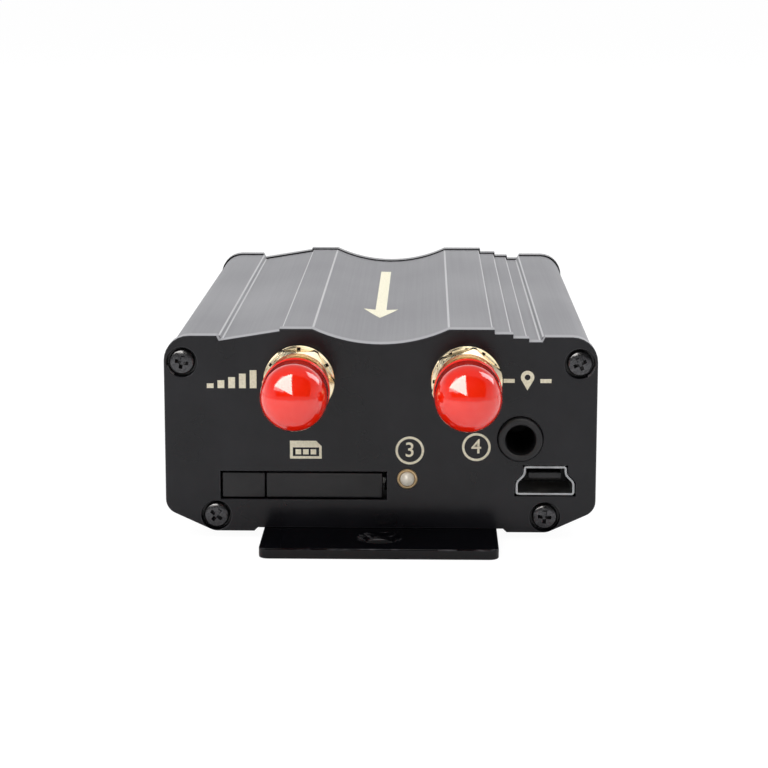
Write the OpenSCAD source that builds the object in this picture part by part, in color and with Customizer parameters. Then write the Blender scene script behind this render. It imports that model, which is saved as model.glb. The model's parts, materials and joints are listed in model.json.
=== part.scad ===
// Vehicle tracker in an extruded aluminium case, standing on its mounting strap.
// Millimetres. Origin at the centre of the strap's underside, +Z up, front plate facing -Y.

/* [Case] */
// Width of the case across its side walls
body_w = 54; // [50:0.5:60]
// Height of the case from its feet to the two ridges on top
body_h = 25.8; // [25:0.1:29]
// Length of the extruded case between the end plates
extrusion_len = 79; // [74:1:96]
// Thickness of the extruded walls
wall = 1.6; // [1.3:0.1:1.8]
// Radius of the upper edges
top_corner_r = 3.2; // [2.4:0.1:3.6]
// Radius that blends the lower chamfer into the side
low_corner_r = 2; // [1.2:0.1:2.4]
// Width of the chamfer between foot and side
chamfer_w = 5.9; // [5.5:0.1:6.4]
// Height of the chamfer between foot and side
chamfer_h = 2.8; // [2.4:0.1:3.2]
// Width of the shallow recess between the feet
recess_w = 32; // [31:0.5:34]
// Depth of the shallow recess between the feet
recess_h = 0.45; // [0.3:0.05:0.6]
// Thickness of the floor over the recess
floor_t = 1.5; // [1.2:0.1:1.7]

/* [Top profile] */
// Width of the dish between the ridges
dish_w = 17.1; // [15:0.1:18]
// Depth of the dish between the ridges
dish_h = 1.9; // [1.4:0.1:2.2]
// Width of the left ridge
left_ridge_w = 3.9; // [3:0.1:4.8]
// Width of the right ridge
right_ridge_w = 5.5; // [4.6:0.1:6]
// Step from the left ridge down to its ramp
ramp_step_h = 0.3; // [0.2:0.05:0.5]
// Width of the low shelf on each side
shelf_w = 6.95; // [6.4:0.05:7.4]
// Drop from the ridges to the foot of the ramp and stairs
slope_drop = 1.55; // [1.3:0.05:1.8]
// Drop from the ridges to the outer shelves
shelf_drop = 0.92; // [0.7:0.02:1.2]

/* [End plates] */
// Thickness of each end plate
plate_t = 2; // [1.6:0.1:2.4]
// How far each plate stands out past the case all round
plate_lip = 0.2; // [0.1:0.05:0.4]
// Radius of a plate screw's head
head_r = 1.6; // [1.4:0.05:1.7]
// Height of a plate screw's head
head_h = 1.2; // [0.9:0.1:1.4]
// Radius of a plate screw's shank
shank_r = 1; // [0.8:0.05:1.1]
// Length of a plate screw's shank
shank_len = 8; // [6:0.5:10]
// Distance of the upper screws from the side of the case
upper_screw_edge = 2.05; // [2:0.05:2.4]
// Distance of the upper screws below the ridges
upper_screw_drop = 4.1; // [3.9:0.1:4.4]
// Distance of the lower screws from the side of the case
lower_screw_edge = 6.2; // [6:0.1:6.6]
// Height of the lower screws above the feet
lower_screw_z = 2; // [2:0.05:2.1]

/* [Mounting strap] */
// Gap between the strap and each side of the recess
strap_side_gap = 1.25; // [0.6:0.05:3]
// Thickness of the strap
strap_t = 1.3; // [1.1:0.1:1.6]
// How far each tongue reaches past its end plate
tongue_len = 10.4; // [9:0.2:14]
// Distance of each mounting hole from its end plate
hole_reach = 4.7; // [4:0.1:6]
// Radius of each mounting hole
hole_r = 1.9; // [1.6:0.05:2.1]
// Distance between the two screws that hold the strap
strap_screw_gap = 50; // [40:1:60]

/* [Antenna jacks] */
// Distance between the two jacks
jack_gap = 21; // [20:0.1:22]
// Sideways shift of the pair from the middle of the plate
jack_shift = 0.3; // [0:0.05:0.5]
// Distance of the jacks below the ridges
jack_drop = 6.3; // [5.8:0.1:6.4]
// Radius of the thread's crest
thread_r = 3.175; // [3:0.025:3.2]
// Pitch of the thread
thread_pitch = 0.706; // [0.6:0.05:0.9]
// How far the thread stands out of the plate
thread_out = 12.4; // [11:0.2:13]
// Width across the flats of the nut
nut_flats = 8; // [7.6:0.1:8.2]
// Thickness of the nut
nut_t = 2.2; // [1.8:0.1:2.6]
// Radius of the lock washer
washer_r = 4.5; // [4.2:0.1:4.6]
// Thickness of the lock washer
washer_t = 0.6; // [0.4:0.1:0.8]

/* [Dust caps] */
// Outer radius of a cap
cap_r = 4.1; // [3.9:0.05:4.3]
// Length of a cap
cap_len = 8; // [7.4:0.1:9]
// Thickness of the cap's closed end
cap_end_t = 1.2; // [0.9:0.1:1.4]
// Distance from the plate to the cap's rim
cap_reach = 7.2; // [6.4:0.1:8]

/* [Card slot] */
// Distance of the slot from the side of the case
slot_edge = 6.8; // [6.4:0.1:7.2]
// Height of the slot
slot_h = 3.6; // [3.5:0.05:3.7]
// Width of the eject button
button_w = 5.4; // [4.6:0.1:5.6]
// Travel of the eject button
button_travel = 2; // [1.5:0.1:2]
// Width of the card and of its tray
card_w = 15; // [14.6:0.1:15.2]
// Length of the card
card_len = 25; // [24:0.1:25.2]
// Thickness of the card
card_t = 0.8; // [0.7:0.05:0.9]

/* [Status light, audio jack and USB] */
// Radius of the status light's lens
led_r = 0.9; // [0.8:0.05:1]
// Radius of the ring round the status light
bezel_r = 1.3; // [1.2:0.05:1.4]
// Distance from the slot to the middle of the status light
led_gap = 2.6; // [2.5:0.1:3]
// Radius of the audio jack's bore
audio_bore_r = 1.8; // [1.7:0.05:1.9]
// Radius of the audio jack's nose
audio_nose_r = 2.8; // [2.6:0.05:2.95]
// Distance of the audio jack from the side of the case
audio_edge = 9.4; // [9.2:0.1:9.6]
// Height of the audio jack's bore above the board
audio_rise = 2.55; // [2.5:0.05:2.8]
// Depth of the audio jack's bore
audio_depth = 14; // [12:0.5:15]
// Distance of the USB opening from the side of the case
usb_edge = 6.2; // [6.1:0.1:6.6]
// Width of the USB shell at its wide side
usb_w = 7.4; // [7.2:0.05:7.5]
// Width of the USB shell at its narrow side
usb_narrow_w = 5.4; // [5:0.1:5.8]
// Height of the USB shell
usb_h = 3.7; // [3.6:0.05:3.85]

/* [Harness inlet and switch] */
// Width of the harness header
header_w = 24; // [22:0.5:25]
// Gap between the harness header and the roof under the dish
header_roof_gap = 3.35; // [2.4:0.05:4]
// Depth of the harness header's socket
header_depth = 10.6; // [10:0.1:12]
// Distance of the switch from the side of the case
switch_edge = 10; // [9.5:0.1:10.4]
// Gap between the switch and the harness header
header_gap = 3.7; // [2.5:0.1:4.5]
// Travel of the switch
switch_travel = 2; // [1.5:0.1:2.2]

/* [Board and battery] */
// Height of the board's underside above the feet
board_rise = 8.55; // [8.5:0.05:9]
// Thickness of the board
board_t = 1; // [0.8:0.1:1.2]
// Gap between the battery and the audio jack beside it
battery_side_gap = 0.7; // [0.4:0.05:1.2]
// Length of the battery
battery_len = 48; // [40:1:49]
// Thickness of the battery
battery_t = 4.6; // [4:0.1:4.7]

/* [Hidden] */
$fn = 64;
// Overrun of every cut
cut = 0.5;

// Clearances: round a moving face, on a running fit, and between parts that only meet
face_gap = 0.2;
run_gap = 0.08;
seat_gap = 0.05;

// Places that follow from the case
half_w = body_w / 2;
half_len = extrusion_len / 2;
front_y = -(half_len + plate_t);
rear_y = half_len + plate_t;
foot_z = strap_t - recess_h;
inner_half = half_w - wall;
floor_z = recess_h + floor_t;

// Top profile
dish_half = dish_w / 2;
dish_r = (dish_half * dish_half + dish_h * dish_h) / (2 * dish_h);
dish_z = body_h - dish_h + dish_r;
shelf_z = body_h - shelf_drop;
slope_z = body_h - slope_drop;
left_ridge_x = -(dish_half + left_ridge_w);
right_ridge_x = dish_half + right_ridge_w;
ramp_x = -(half_w - shelf_w);
stairs_x = half_w - shelf_w;
stairs_w = stairs_x - right_ridge_x;
// How far each stair reaches outwards, and how far it lies below the ridge
stair_reach_shares = [0.39, 0.72, 1];
stair_drop_shares = [0.37, 0.7, 1];
notch_w = 0.3;
foot_x = half_w - chamfer_w;
ceiling_z = body_h - wall;
// How thick the roof is over the shelves, in walls
shelf_roof_share = 1.7;
ceiling_side_z = shelf_z - shelf_roof_share * wall;
dish_ceiling_z = body_h - dish_h - wall;

// Screw places, as [x, z] above the feet
boss_r = 2;
boss_top_r = 2.1;
screw_clear = 0.05;
bore_round_head = 0.3;
head_inset = 0.1;
recess_cross_w = 0.5;
recess_cross_len = 1.9;
recess_cross_h = 0.7;
screw_places = [
    [-(half_w - upper_screw_edge), body_h - upper_screw_drop],
    [half_w - upper_screw_edge, body_h - upper_screw_drop],
    [-(half_w - lower_screw_edge), lower_screw_z],
    [half_w - lower_screw_edge, lower_screw_z]];

// Strap
strap_w = recess_w - 2 * strap_side_gap;
strap_half_len = rear_y + tongue_len;
strap_corner_r = 1.2;
hole_y = rear_y + hole_reach;
sink_h = 0.8;
sink_w = 1;
thin_head_r = 2.1;
thin_head_h = 0.8;
thin_shank_r = 1;
thin_shank_len = 2.6;

// Antenna jacks
left_jack_x = jack_shift - jack_gap / 2;
right_jack_x = jack_shift + jack_gap / 2;
jack_z = body_h - jack_drop;
thread_h = 0.32;
// Where a crest ends, and where a root begins and ends, in pitches
thread_shares = [0.3, 0.6, 0.7];
jack_flange_r = 3.6;
jack_flange_t = 2.4;
jack_barrel_r = 2.5;
jack_barrel_len = 3.5;
insulator_r = 2.05;
contact_r = 0.64;
contact_bore_r = 0.46;
contact_bore_len = 4;
contact_inset = 0.3;
washer_notches = 12;
washer_notch = 0.45;
washer_rim = 0.25;
nut_chamfer = 0.35;

// Dust caps
cap_bore_r = thread_r + run_gap;
cap_rim_w = 0.1;
cap_rim_h = 0.65;
cap_groove_w = 0.12;
cap_groove_h = 0.35;
cap_dome_share = 0.47;
dome_steps = 20;

// Board
board_side_gap = 0.2;
board_half_w = inner_half - board_side_gap;
board_edge_gap = 0.6;
board_top = board_rise + board_t;
rail_w = 0.75;
rail_h = 1;
rail_gap = 0.15;

// Card slot, from left to right across the front
slot_x = -(half_w - slot_edge);
button_x = slot_x + face_gap;
tray_x = button_x + button_w + face_gap;
slot_end_x = tray_x + card_w + face_gap;
slot_roof = 0.8;
slot_top = board_rise - slot_roof;
slot_low = slot_top - slot_h;
face_inset = 0.2;
// Shadow gap between the tray front and the end of the slot
tray_face_inset = 0.35;
face_y = front_y + face_inset;
face_behind = 0.3;
face_back_y = -half_len + face_behind;
socket_wall = 0.5;
socket_play = 0.16;
socket_y = face_back_y + socket_play;
blade_t = 0.8;
blade_rise = 0.6;
blade_z = slot_low + face_gap + blade_rise;
lip_t = 0.6;
card_play = 0.2;
card_corner = 2.5;
card_y = face_back_y + card_play;
tray_end_y = card_y + card_len + card_play + lip_t;
rod_w = 2.4;
rod_h = 2;
rod_play = 0.15;
rod_x = button_x + button_w / 2;
tip_w = 0.8;
tip_len = 1.6;
tip_gap = 0.3;
lever_w = 1.5;
lever_t = 1.2;
lever_arm = 3.7;
lever_left = 4.2;
lever_right = 4.6;
lever_turn = 33;
lever_play = 0.1;
pin_r = 0.6;
lever_x = rod_x + lever_arm;
lever_y = tray_end_y + lever_right * sin(lever_turn) + lever_w / 2 + tip_gap;
lever_z = blade_z;
rod_end_y = lever_y - lever_w / 2 - tip_gap;
chamber_y = lever_y + lever_left * sin(lever_turn) + lever_w / 2 + face_gap;
contact_columns = 3;
contact_rows = 2;
contact_column_gap = 2.54;
contact_row_gap = 7.62;
contact_w = 1.2;
contact_len = 2.2;

// Status light
led_x = slot_end_x + led_gap;
led_drop = 1.65;
led_z = board_rise - led_drop;
led_out = 0.15;
led_len = 5;
lens_steps = 6;
bezel_lip = 0.3;
bezel_sleeve = 0.18;
led_holder_wall = 0.5;
led_holder_len = 2;
led_holder_y = -half_len + led_holder_wall;

// Audio jack
audio_x = half_w - audio_edge;
audio_z = board_top + audio_rise;
audio_out = 0.8;
audio_funnel = 0.4;
audio_side = 3.15;
audio_height = 5.1;
audio_wall = 1.2;
audio_tab_t = 0.25;
audio_tab_w = 1.6;
audio_tab_h = 2.4;
audio_tab_share = 0.3;
audio_end_y = front_y - audio_out + audio_depth + audio_wall;

// USB
usb_x = half_w - usb_edge;
usb_z = board_rise - usb_h / 2;
usb_t = 0.25;
usb_inset = 0.3;
usb_depth = 9;
usb_waist_shares = [0.45, 0.72];
usb_gap = 0.12;
tongue_w = 4.2;
tongue_t = 0.8;
tongue_back = 2;
tongue_inset = 1.2;

// Power switch
switch_x = -(half_w - switch_edge);
switch_w = 8.6;
switch_h = 4.2;
switch_d = 4;
knob_w = 1.8;
knob_h = 1.6;
knob_out = 1;
sled_w = 3.2;
sled_h = 2.9;
sled_d = 1.4;
knob_x = switch_x - switch_travel / 2;
knob_z = board_top + switch_h / 2;
switch_back = 1.2;
switch_y = half_len - run_gap - switch_d;

// Harness header
header_out = 0.8;
header_x = switch_x + switch_w / 2 + header_gap + header_w / 2;
header_y = rear_y + header_out;
header_h = dish_ceiling_z - board_top - header_roof_gap;
header_wall = 1;
header_back = 3;
pin_w = 0.7;
pin_len = 5.4;
pin_columns = 6;
pin_edge = 2.5;
pin_column_gap = (header_w - 2 * header_wall - 2 * pin_edge) / (pin_columns - 1);
// Gap between the two rows, as a share of the socket's height
pin_row_share = 0.486;
pin_row_gap = pin_row_share * (header_h - 2 * header_wall);
pin_foot_y = 1;
pin_row_step = 1.4;
pin_end_y = header_y - header_depth - header_back - pin_foot_y - pin_row_step;
key_w = 3;
key_t = 0.5;

// Parts on the board, with their lengths as shares of the board that is free between
// the audio jack and the harness pins
board_room = pin_end_y - audio_end_y;
cellular_start_share = 0.14;
cellular_share = 0.45;
module_gap_share = 0.055;
positioning_share = 0.3;
cellular_size = [24, cellular_share * board_room, 2.6];
cellular_y = audio_end_y + (cellular_start_share + cellular_share / 2) * board_room;
positioning_size = [12.2, positioning_share * board_room, 2.4];
positioning_y = cellular_y + (cellular_share / 2 + module_gap_share + positioning_share / 2) * board_room;
can_rim = 0.4;
can_rim_h = 0.3;
edge_part_gap = 0.7;
edge_part_x = board_half_w - rail_w - edge_part_gap;
sensor_r = 2.5;
sensor_h = 6;
capacitor_r = 3;
capacitor_h = 7.7;
capacitor_gap = 8;
capacitor_base_h = 0.8;
inductor_size = [6, 6, 3];
inductor_core_r = 2.3;

// Battery on its tape, with its rear end at the harness pins
tape_edge = 2;
tape_size = [cellular_size.x - 2 * tape_edge, cellular_size.y - 2 * tape_edge, 0.5];
battery_gap = 0.8;
battery_w = 2 * (audio_x - audio_side - battery_side_gap);
battery_y = pin_end_y - battery_gap - battery_len / 2;
battery_z = board_top + cellular_size.z + tape_size.z;
battery_r = 1.2;
plug_size = [6, 4, 3.4];
plug_inset = 5;
plug_x = -(edge_part_x - plug_size.x / 2);
plug_y = battery_y + battery_len / 2 - plug_inset;
lead_r = 0.4;
lead_gap = 2;
lead_z = 1.6;

// Controller chip in the room between the positioning module and the battery's header
chip_gap = 2.5;
chip_plug_gap = 2.15;
chip_w = edge_part_x - plug_size.x - positioning_size.x / 2 - chip_gap - chip_plug_gap;
chip_size = [chip_w, 7, 1];
chip_x = -(positioning_size.x / 2 + chip_gap + chip_size.x / 2);

// Coaxial leads
coax_r = 0.6;
coax_plug_r = 1.3;
coax_plug_h = 1.6;
coax_side_gap = 2;
coax_gap = 1.7;
coax_plug_x = board_half_w - rail_w - coax_plug_r - coax_side_gap;
coax_plug_y = cellular_y - inductor_size.y / 2 - coax_gap - coax_plug_r;
coax_start_y = -half_len + jack_flange_t + jack_barrel_len;
tube_sides = 8;
tube_steps = 22;

// Colours
case_grey = [0.58, 0.58, 0.6];
plate_black = [0.12, 0.12, 0.13];
steel_black = [0.1, 0.1, 0.11];
gold = [0.83, 0.66, 0.3];
cap_red = [0.85, 0.1, 0.08];
mould_black = [0.08, 0.08, 0.09];
board_green = [0.08, 0.35, 0.2];
tin = [0.75, 0.76, 0.78];
white_plastic = [0.92, 0.92, 0.9];
lens_white = [0.95, 0.93, 0.85];
foil = [0.55, 0.6, 0.68];

// Points of an arc that rounds corner b between a and c
function unit(v) = v / norm(v);
function fillet(a, b, c, r, steps = 7) =
    let (
        u = unit(a - b),
        v = unit(c - b),
        half = acos(u * v) / 2,
        centre = b + unit(u + v) * r / sin(half),
        from = b + u * r / tan(half) - centre,
        to = b + v * r / tan(half) - centre,
        start = atan2(from.y, from.x),
        turn = atan2(to.y, to.x) - start,
        sweep = turn > 180 ? turn - 360 : turn < -180 ? turn + 360 : turn
    )
    [for (i = [0:steps]) centre + r * [cos(start + sweep * i / steps), sin(start + sweep * i / steps)]];

// Outer and inner corner of one stair, counted from the ridge
function stair(i, g) =
    let (
        low = body_h - stair_drop_shares[i] * slope_drop + g,
        outer = right_ridge_x + stair_reach_shares[i] * stairs_w + g,
        inner = right_ridge_x + (i > 0 ? stair_reach_shares[i - 1] * stairs_w : 0) + g
    )
    [[outer, low], [inner, low]];

// Cross section above the feet, grown by g at the sides and top
function section_points(g) =
    let (
        side = half_w + g,
        shelf = shelf_z + g,
        foot = [foot_x, 0],
        waist = [side, chamfer_h],
        top = [side, shelf]
    )
    concat(
        fillet([0, 0], foot, waist, low_corner_r, 3),
        fillet(foot, waist, top, low_corner_r),
        fillet(waist, top, [0, shelf], top_corner_r),
        [[stairs_x + notch_w + g, shelf], [stairs_x + g, slope_z + g]],
        [for (i = [2:-1:0]) each stair(i, g)],
        [[right_ridge_x + g, body_h + g], [left_ridge_x - g, body_h + g]],
        [[left_ridge_x - g, body_h - ramp_step_h + g], [ramp_x - g, slope_z + g]],
        [[ramp_x - notch_w - g, shelf]],
        fillet([0, shelf], [-top.x, shelf], [-side, chamfer_h], top_corner_r),
        fillet([-side, shelf], [-side, chamfer_h], [-foot_x, 0], low_corner_r),
        fillet([-side, chamfer_h], [-foot_x, 0], [0, 0], low_corner_r, 3),
        [[-recess_w / 2, 0], [-recess_w / 2 + recess_h, recess_h]],
        [[recess_w / 2 - recess_h, recess_h], [recess_w / 2, 0]]
    );

module section(g) {
    difference() {
        polygon(section_points(g));
        translate([0, dish_z + g])
            circle(r = dish_r, $fn = 180);
    }
}

// Extrudes an outline drawn as [x, z] above the feet from y0 to y1
module along_y(y0, y1) {
    translate([0, y1, foot_z])
        rotate([90, 0, 0])
            linear_extrude(y1 - y0)
                children();
}

// Turns a profile of [radius, distance towards -Y] round an axis along Y
module turned(x, y, z) {
    translate([x, y, foot_z + z])
        rotate([90, 0, 0])
            rotate_extrude()
                children();
}

// Cylinder along Y, at height z above the feet
module rod(x, z, r, y0, y1) {
    translate([x, y1, foot_z + z])
        rotate([90, 0, 0])
            cylinder(r = r, h = y1 - y0);
}

// Block between two corners, with heights above the feet
module block(low, high) {
    translate([low.x, low.y, foot_z + low.z])
        cube(high - low);
}

// Block standing on the board, centred at x, y
module on_board(x, y, size) {
    block([x - size.x / 2, y - size.y / 2, board_top],
        [x + size.x / 2, y + size.y / 2, board_top + size.z]);
}

// Case

module cavity_section() {
    difference() {
        polygon([
            [-inner_half, floor_z + chamfer_h - recess_h], [-foot_x, floor_z], [foot_x, floor_z],
            [inner_half, floor_z + chamfer_h - recess_h], [inner_half, ceiling_side_z],
            [stairs_x, ceiling_side_z], [right_ridge_x, ceiling_z], [left_ridge_x, ceiling_z],
            [ramp_x, ceiling_side_z], [-inner_half, ceiling_side_z]]);
        translate([0, dish_z])
            circle(r = dish_r + wall, $fn = 180);
        for (i = [0:3])
            translate(screw_places[i])
                circle(r = i < 2 ? boss_top_r : boss_r);
        for (side = [-1, 1], rail = [board_rise - rail_h, board_top + rail_gap])
            translate([side * (inner_half - rail_w / 2), rail + rail_h / 2])
                square([rail_w, rail_h], center = true);
    }
}

module housing_extrusion() {
    color(case_grey)
        difference() {
            along_y(-half_len, half_len)
                difference() {
                    section(0);
                    cavity_section();
                    for (p = screw_places)
                        translate(p)
                            circle(r = shank_r + screw_clear);
                }
            for (side = [-1, 1])
                translate([0, side * strap_screw_gap / 2, strap_t - cut])
                    cylinder(r = thin_shank_r + screw_clear, h = floor_t + 2 * cut);
        }
}

// Screw holes of an end plate: through holes and sunk seats for the heads
module plate_holes(face, inward) {
    seat = head_h + head_inset;
    for (p = screw_places) {
        rod(p.x, p.y, shank_r + screw_clear, min(face, face + inward * plate_t) - cut,
            max(face, face + inward * plate_t) + cut);
        rod(p.x, p.y, head_r + bore_round_head, min(face - inward * cut, face + inward * seat),
            max(face - inward * cut, face + inward * seat));
    }
}

module front_plate() {
    color(plate_black)
        difference() {
            along_y(front_y, -half_len)
                section(plate_lip);
            plate_holes(front_y, 1);
            for (x = [left_jack_x, right_jack_x])
                rod(x, jack_z, thread_r + seat_gap, front_y - cut, -half_len + cut);
            block([slot_x, front_y - cut, slot_low], [slot_end_x, -half_len + cut, slot_top]);
            rod(led_x, led_z, led_r + seat_gap + bezel_sleeve, front_y - cut, -half_len + cut);
            rod(audio_x, audio_z, audio_nose_r + seat_gap, front_y - cut, -half_len + cut);
            along_y(front_y - cut, -half_len + cut)
                translate([usb_x, usb_z])
                    usb_outline(usb_gap);
        }
}

module rear_plate() {
    color(plate_black)
        difference() {
            along_y(half_len, rear_y)
                section(plate_lip);
            plate_holes(rear_y, -1);
            block([header_x - header_w / 2 - seat_gap, half_len - cut, board_top - seat_gap],
                [header_x + header_w / 2 + seat_gap, rear_y + cut, board_top + header_h + seat_gap]);
            knob_slot(half_len - cut, rear_y + cut);
        }
}

// One cross-recess screw, head outwards, seated at the given end face
module plate_screw(x, z, face, inward) {
    translate([x, face + inward * head_inset, foot_z + z])
        rotate([-90 * inward, 0, 0])
            difference() {
                union() {
                    cylinder(r = head_r, h = head_h);
                    translate([0, 0, head_h])
                        cylinder(r = shank_r, h = shank_len);
                }
                for (turn = [0, 90])
                    rotate([0, 0, turn])
                        translate([-recess_cross_len / 2, -recess_cross_w / 2, -cut])
                            cube([recess_cross_len, recess_cross_w, recess_cross_h + cut]);
            }
}

module front_screws() {
    color(steel_black)
        for (p = screw_places)
            plate_screw(p.x, p.y, front_y, 1);
}

module rear_screws() {
    color(steel_black)
        for (p = screw_places)
            plate_screw(p.x, p.y, rear_y, -1);
}

// Mounting strap

module mounting_bracket() {
    color(steel_black)
        difference() {
            linear_extrude(strap_t)
                difference() {
                    square([strap_w, 2 * strap_half_len], center = true);
                    for (sx = [-1, 1], sy = [-1, 1])
                        translate([sx * strap_w / 2, sy * strap_half_len])
                            scale([sx, sy])
                                corner_cut(strap_corner_r);
                }
            for (side = [-1, 1]) {
                translate([0, side * hole_y, -cut])
                    cylinder(r = hole_r, h = strap_t + 2 * cut);
                translate([0, side * hole_y, strap_t - sink_h])
                    cylinder(r1 = hole_r, r2 = hole_r + sink_w, h = sink_h);
                translate([0, side * hole_y, strap_t])
                    cylinder(r = hole_r + sink_w, h = cut);
                translate([0, side * strap_screw_gap / 2, -cut])
                    cylinder(r = thin_head_r + screw_clear, h = cut + thin_head_h + screw_clear);
                translate([0, side * strap_screw_gap / 2, 0])
                    cylinder(r = thin_shank_r + screw_clear, h = strap_t + cut);
            }
        }
}

// What rounding takes off a corner at the origin, the outline lying towards -X and -Y
module corner_cut(r) {
    difference() {
        translate([-r, -r])
            square(r + cut);
        translate([-r, -r])
            circle(r = r);
    }
}

module bracket_screws() {
    color(steel_black)
        for (side = [-1, 1])
            translate([0, side * strap_screw_gap / 2, screw_clear])
                difference() {
                    union() {
                        cylinder(r = thin_head_r, h = thin_head_h);
                        cylinder(r = thin_shank_r, h = strap_t + thin_shank_len);
                    }
                    for (turn = [0, 90])
                        rotate([0, 0, turn])
                            translate([-recess_cross_len / 2, -recess_cross_w / 2, -cut])
                                cube([recess_cross_len, recess_cross_w, cut + thin_head_h / 2]);
                }
}

// Antenna jacks

// Profile of the thread: crests at thread_r, roots one thread_h deeper
function thread_points(length) =
    let (turns = floor(length / thread_pitch), step = length / turns)
    [for (i = [0:turns - 1]) each [
        [thread_r, i * step],
        [thread_r, (i + thread_shares[0]) * step],
        [thread_r - thread_h, (i + thread_shares[1]) * step],
        [thread_r - thread_h, (i + thread_shares[2]) * step]]];

module antenna_jack(x) {
    back = jack_flange_t + jack_barrel_len;
    front = plate_t + thread_out;
    color(gold)
        turned(x, -half_len, jack_z)
            polygon(concat(
                [[insulator_r, -back], [jack_barrel_r, -back], [jack_barrel_r, -jack_flange_t]],
                [[jack_flange_r, -jack_flange_t], [jack_flange_r, 0]],
                [for (p = thread_points(front)) p],
                [[thread_r, front], [insulator_r, front]]));
}

module jack_insulator(x) {
    back = jack_flange_t + jack_barrel_len;
    front = plate_t + thread_out - contact_inset;
    color(white_plastic)
        turned(x, -half_len, jack_z)
            translate([contact_r, -back])
                square([insulator_r - contact_r, back + front]);
}

module jack_contact(x) {
    back = jack_flange_t + jack_barrel_len;
    front = plate_t + thread_out - contact_inset;
    color(gold)
        turned(x, -half_len, jack_z)
            polygon([[0, -back], [contact_r, -back], [contact_r, front], [contact_bore_r, front],
                [contact_bore_r, front - contact_bore_len], [0, front - contact_bore_len]]);
}

module lock_washer(x) {
    color(gold)
        difference() {
            rod(x, jack_z, washer_r, front_y - washer_t, front_y);
            rod(x, jack_z, thread_r + seat_gap, front_y - washer_t - cut, front_y + cut);
            for (i = [0:washer_notches - 1])
                translate([x, front_y - washer_t / 2, foot_z + jack_z])
                    rotate([0, i * 360 / washer_notches, 0])
                        translate([(thread_r + washer_r - washer_rim) / 2, 0, 0])
                            cube([washer_r - washer_rim - thread_r, washer_t + cut, washer_notch],
                                center = true);
        }
}

module hex_nut(x) {
    corner_r = nut_flats / 2 / cos(30);
    color(gold)
        difference() {
            translate([x, front_y - washer_t, foot_z + jack_z])
                rotate([90, 0, 0])
                    intersection() {
                        rotate([0, 0, 30])
                            cylinder(r = corner_r, h = nut_t, $fn = 6);
                        rotate_extrude()
                            polygon([[0, 0], [corner_r, 0], [corner_r, nut_t - nut_chamfer],
                                [nut_flats / 2, nut_t], [0, nut_t]]);
                    }
            rod(x, jack_z, thread_r + seat_gap, front_y - washer_t - nut_t - cut, front_y - washer_t + cut);
        }
}

// Half profile of a cap: rim, groove, straight side, domed end, and the bore
module dust_cap(x) {
    dome = cap_dome_share * cap_len;
    groove = cap_rim_h + cap_groove_h;
    color(cap_red)
        turned(x, front_y - cap_reach, jack_z)
            polygon(concat(
                [[cap_bore_r, 0], [cap_r + cap_rim_w, 0], [cap_r + cap_rim_w, cap_rim_h]],
                [[cap_r - cap_groove_w, cap_rim_h], [cap_r - cap_groove_w, groove], [cap_r, groove]],
                [for (i = [0:dome_steps - 1])
                    [cap_r * cos(90 * i / dome_steps), cap_len - dome + dome * sin(90 * i / dome_steps)]],
                [[0, cap_len], [0, cap_len - cap_end_t],
                [cap_bore_r, cap_len - cap_end_t - cap_bore_r / 2]]));
}

// Card slot

module sim_socket() {
    low = slot_low - socket_wall;
    left = slot_x - socket_wall;
    right = slot_end_x + socket_wall;
    back = chamber_y + socket_wall;
    channel_x = tray_x - face_gap;
    color(mould_black) {
        difference() {
            union() {
                block([left, socket_y, slot_low], [right, back, board_rise]);
                block([channel_x - socket_wall, socket_y, low], [right, back, slot_low]);
            }
            block([channel_x, socket_y - cut, blade_z - lever_play],
                [slot_end_x, tray_end_y + face_gap, slot_top]);
            block([left - cut, socket_y - cut, slot_low - cut],
                [channel_x + cut, face_back_y + button_travel + face_gap, slot_top]);
            block([rod_x - rod_w / 2 - rod_play, socket_y - cut, lever_z - lever_play],
                [rod_x + rod_w / 2 + rod_play, chamber_y, lever_z + rod_h + rod_play]);
            block([rod_x - rod_w / 2 - rod_play, tray_end_y, lever_z - lever_play],
                [lever_x + lever_right + face_gap, chamber_y, lever_z + rod_h + rod_play]);
        }
        translate([lever_x, lever_y, foot_z + lever_z - lever_play])
            cylinder(r = pin_r, h = rod_h + rod_play + lever_play);
    }
}

module sim_contacts() {
    middle_x = tray_x + card_w / 2;
    first_y = card_y + card_len / 2;
    low = blade_z + blade_t + card_t + lever_play;
    color(gold)
        for (i = [0:contact_columns - 1], j = [0:contact_rows - 1]) {
            x = middle_x + (i - (contact_columns - 1) / 2) * contact_column_gap;
            y = first_y + j * contact_row_gap;
            block([x - contact_w / 2, y - contact_len / 2, low],
                [x + contact_w / 2, y + contact_len / 2, slot_top]);
        }
}

module sim_tray() {
    color(mould_black) {
        block([tray_x, face_y, slot_low + face_gap],
            [tray_x + card_w - tray_face_inset, face_back_y, slot_top - face_gap]);
        block([tray_x, face_y + face_inset, blade_z], [tray_x + card_w, tray_end_y, blade_z + blade_t]);
        block([tray_x, tray_end_y - lip_t, blade_z],
            [tray_x + card_w, tray_end_y, blade_z + blade_t + card_t]);
    }
}

module sim_card() {
    right = tray_x + card_w;
    back = card_y + card_len;
    color(white_plastic)
        translate([0, 0, foot_z + blade_z + blade_t])
            linear_extrude(card_t)
                polygon([[tray_x, card_y], [right, card_y], [right, back - card_corner],
                    [right - card_corner, back], [tray_x, back]]);
}

module sim_eject_button() {
    color(mould_black) {
        block([button_x, face_y, slot_low + face_gap],
            [button_x + button_w, face_back_y, slot_top - face_gap]);
        block([rod_x - rod_w / 2, face_y + face_inset, lever_z],
            [rod_x + rod_w / 2, rod_end_y - tip_len, lever_z + rod_h]);
        block([rod_x - tip_w / 2, rod_end_y - 2 * tip_len, lever_z],
            [rod_x + tip_w / 2, rod_end_y, lever_z + rod_h]);
    }
}

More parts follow.
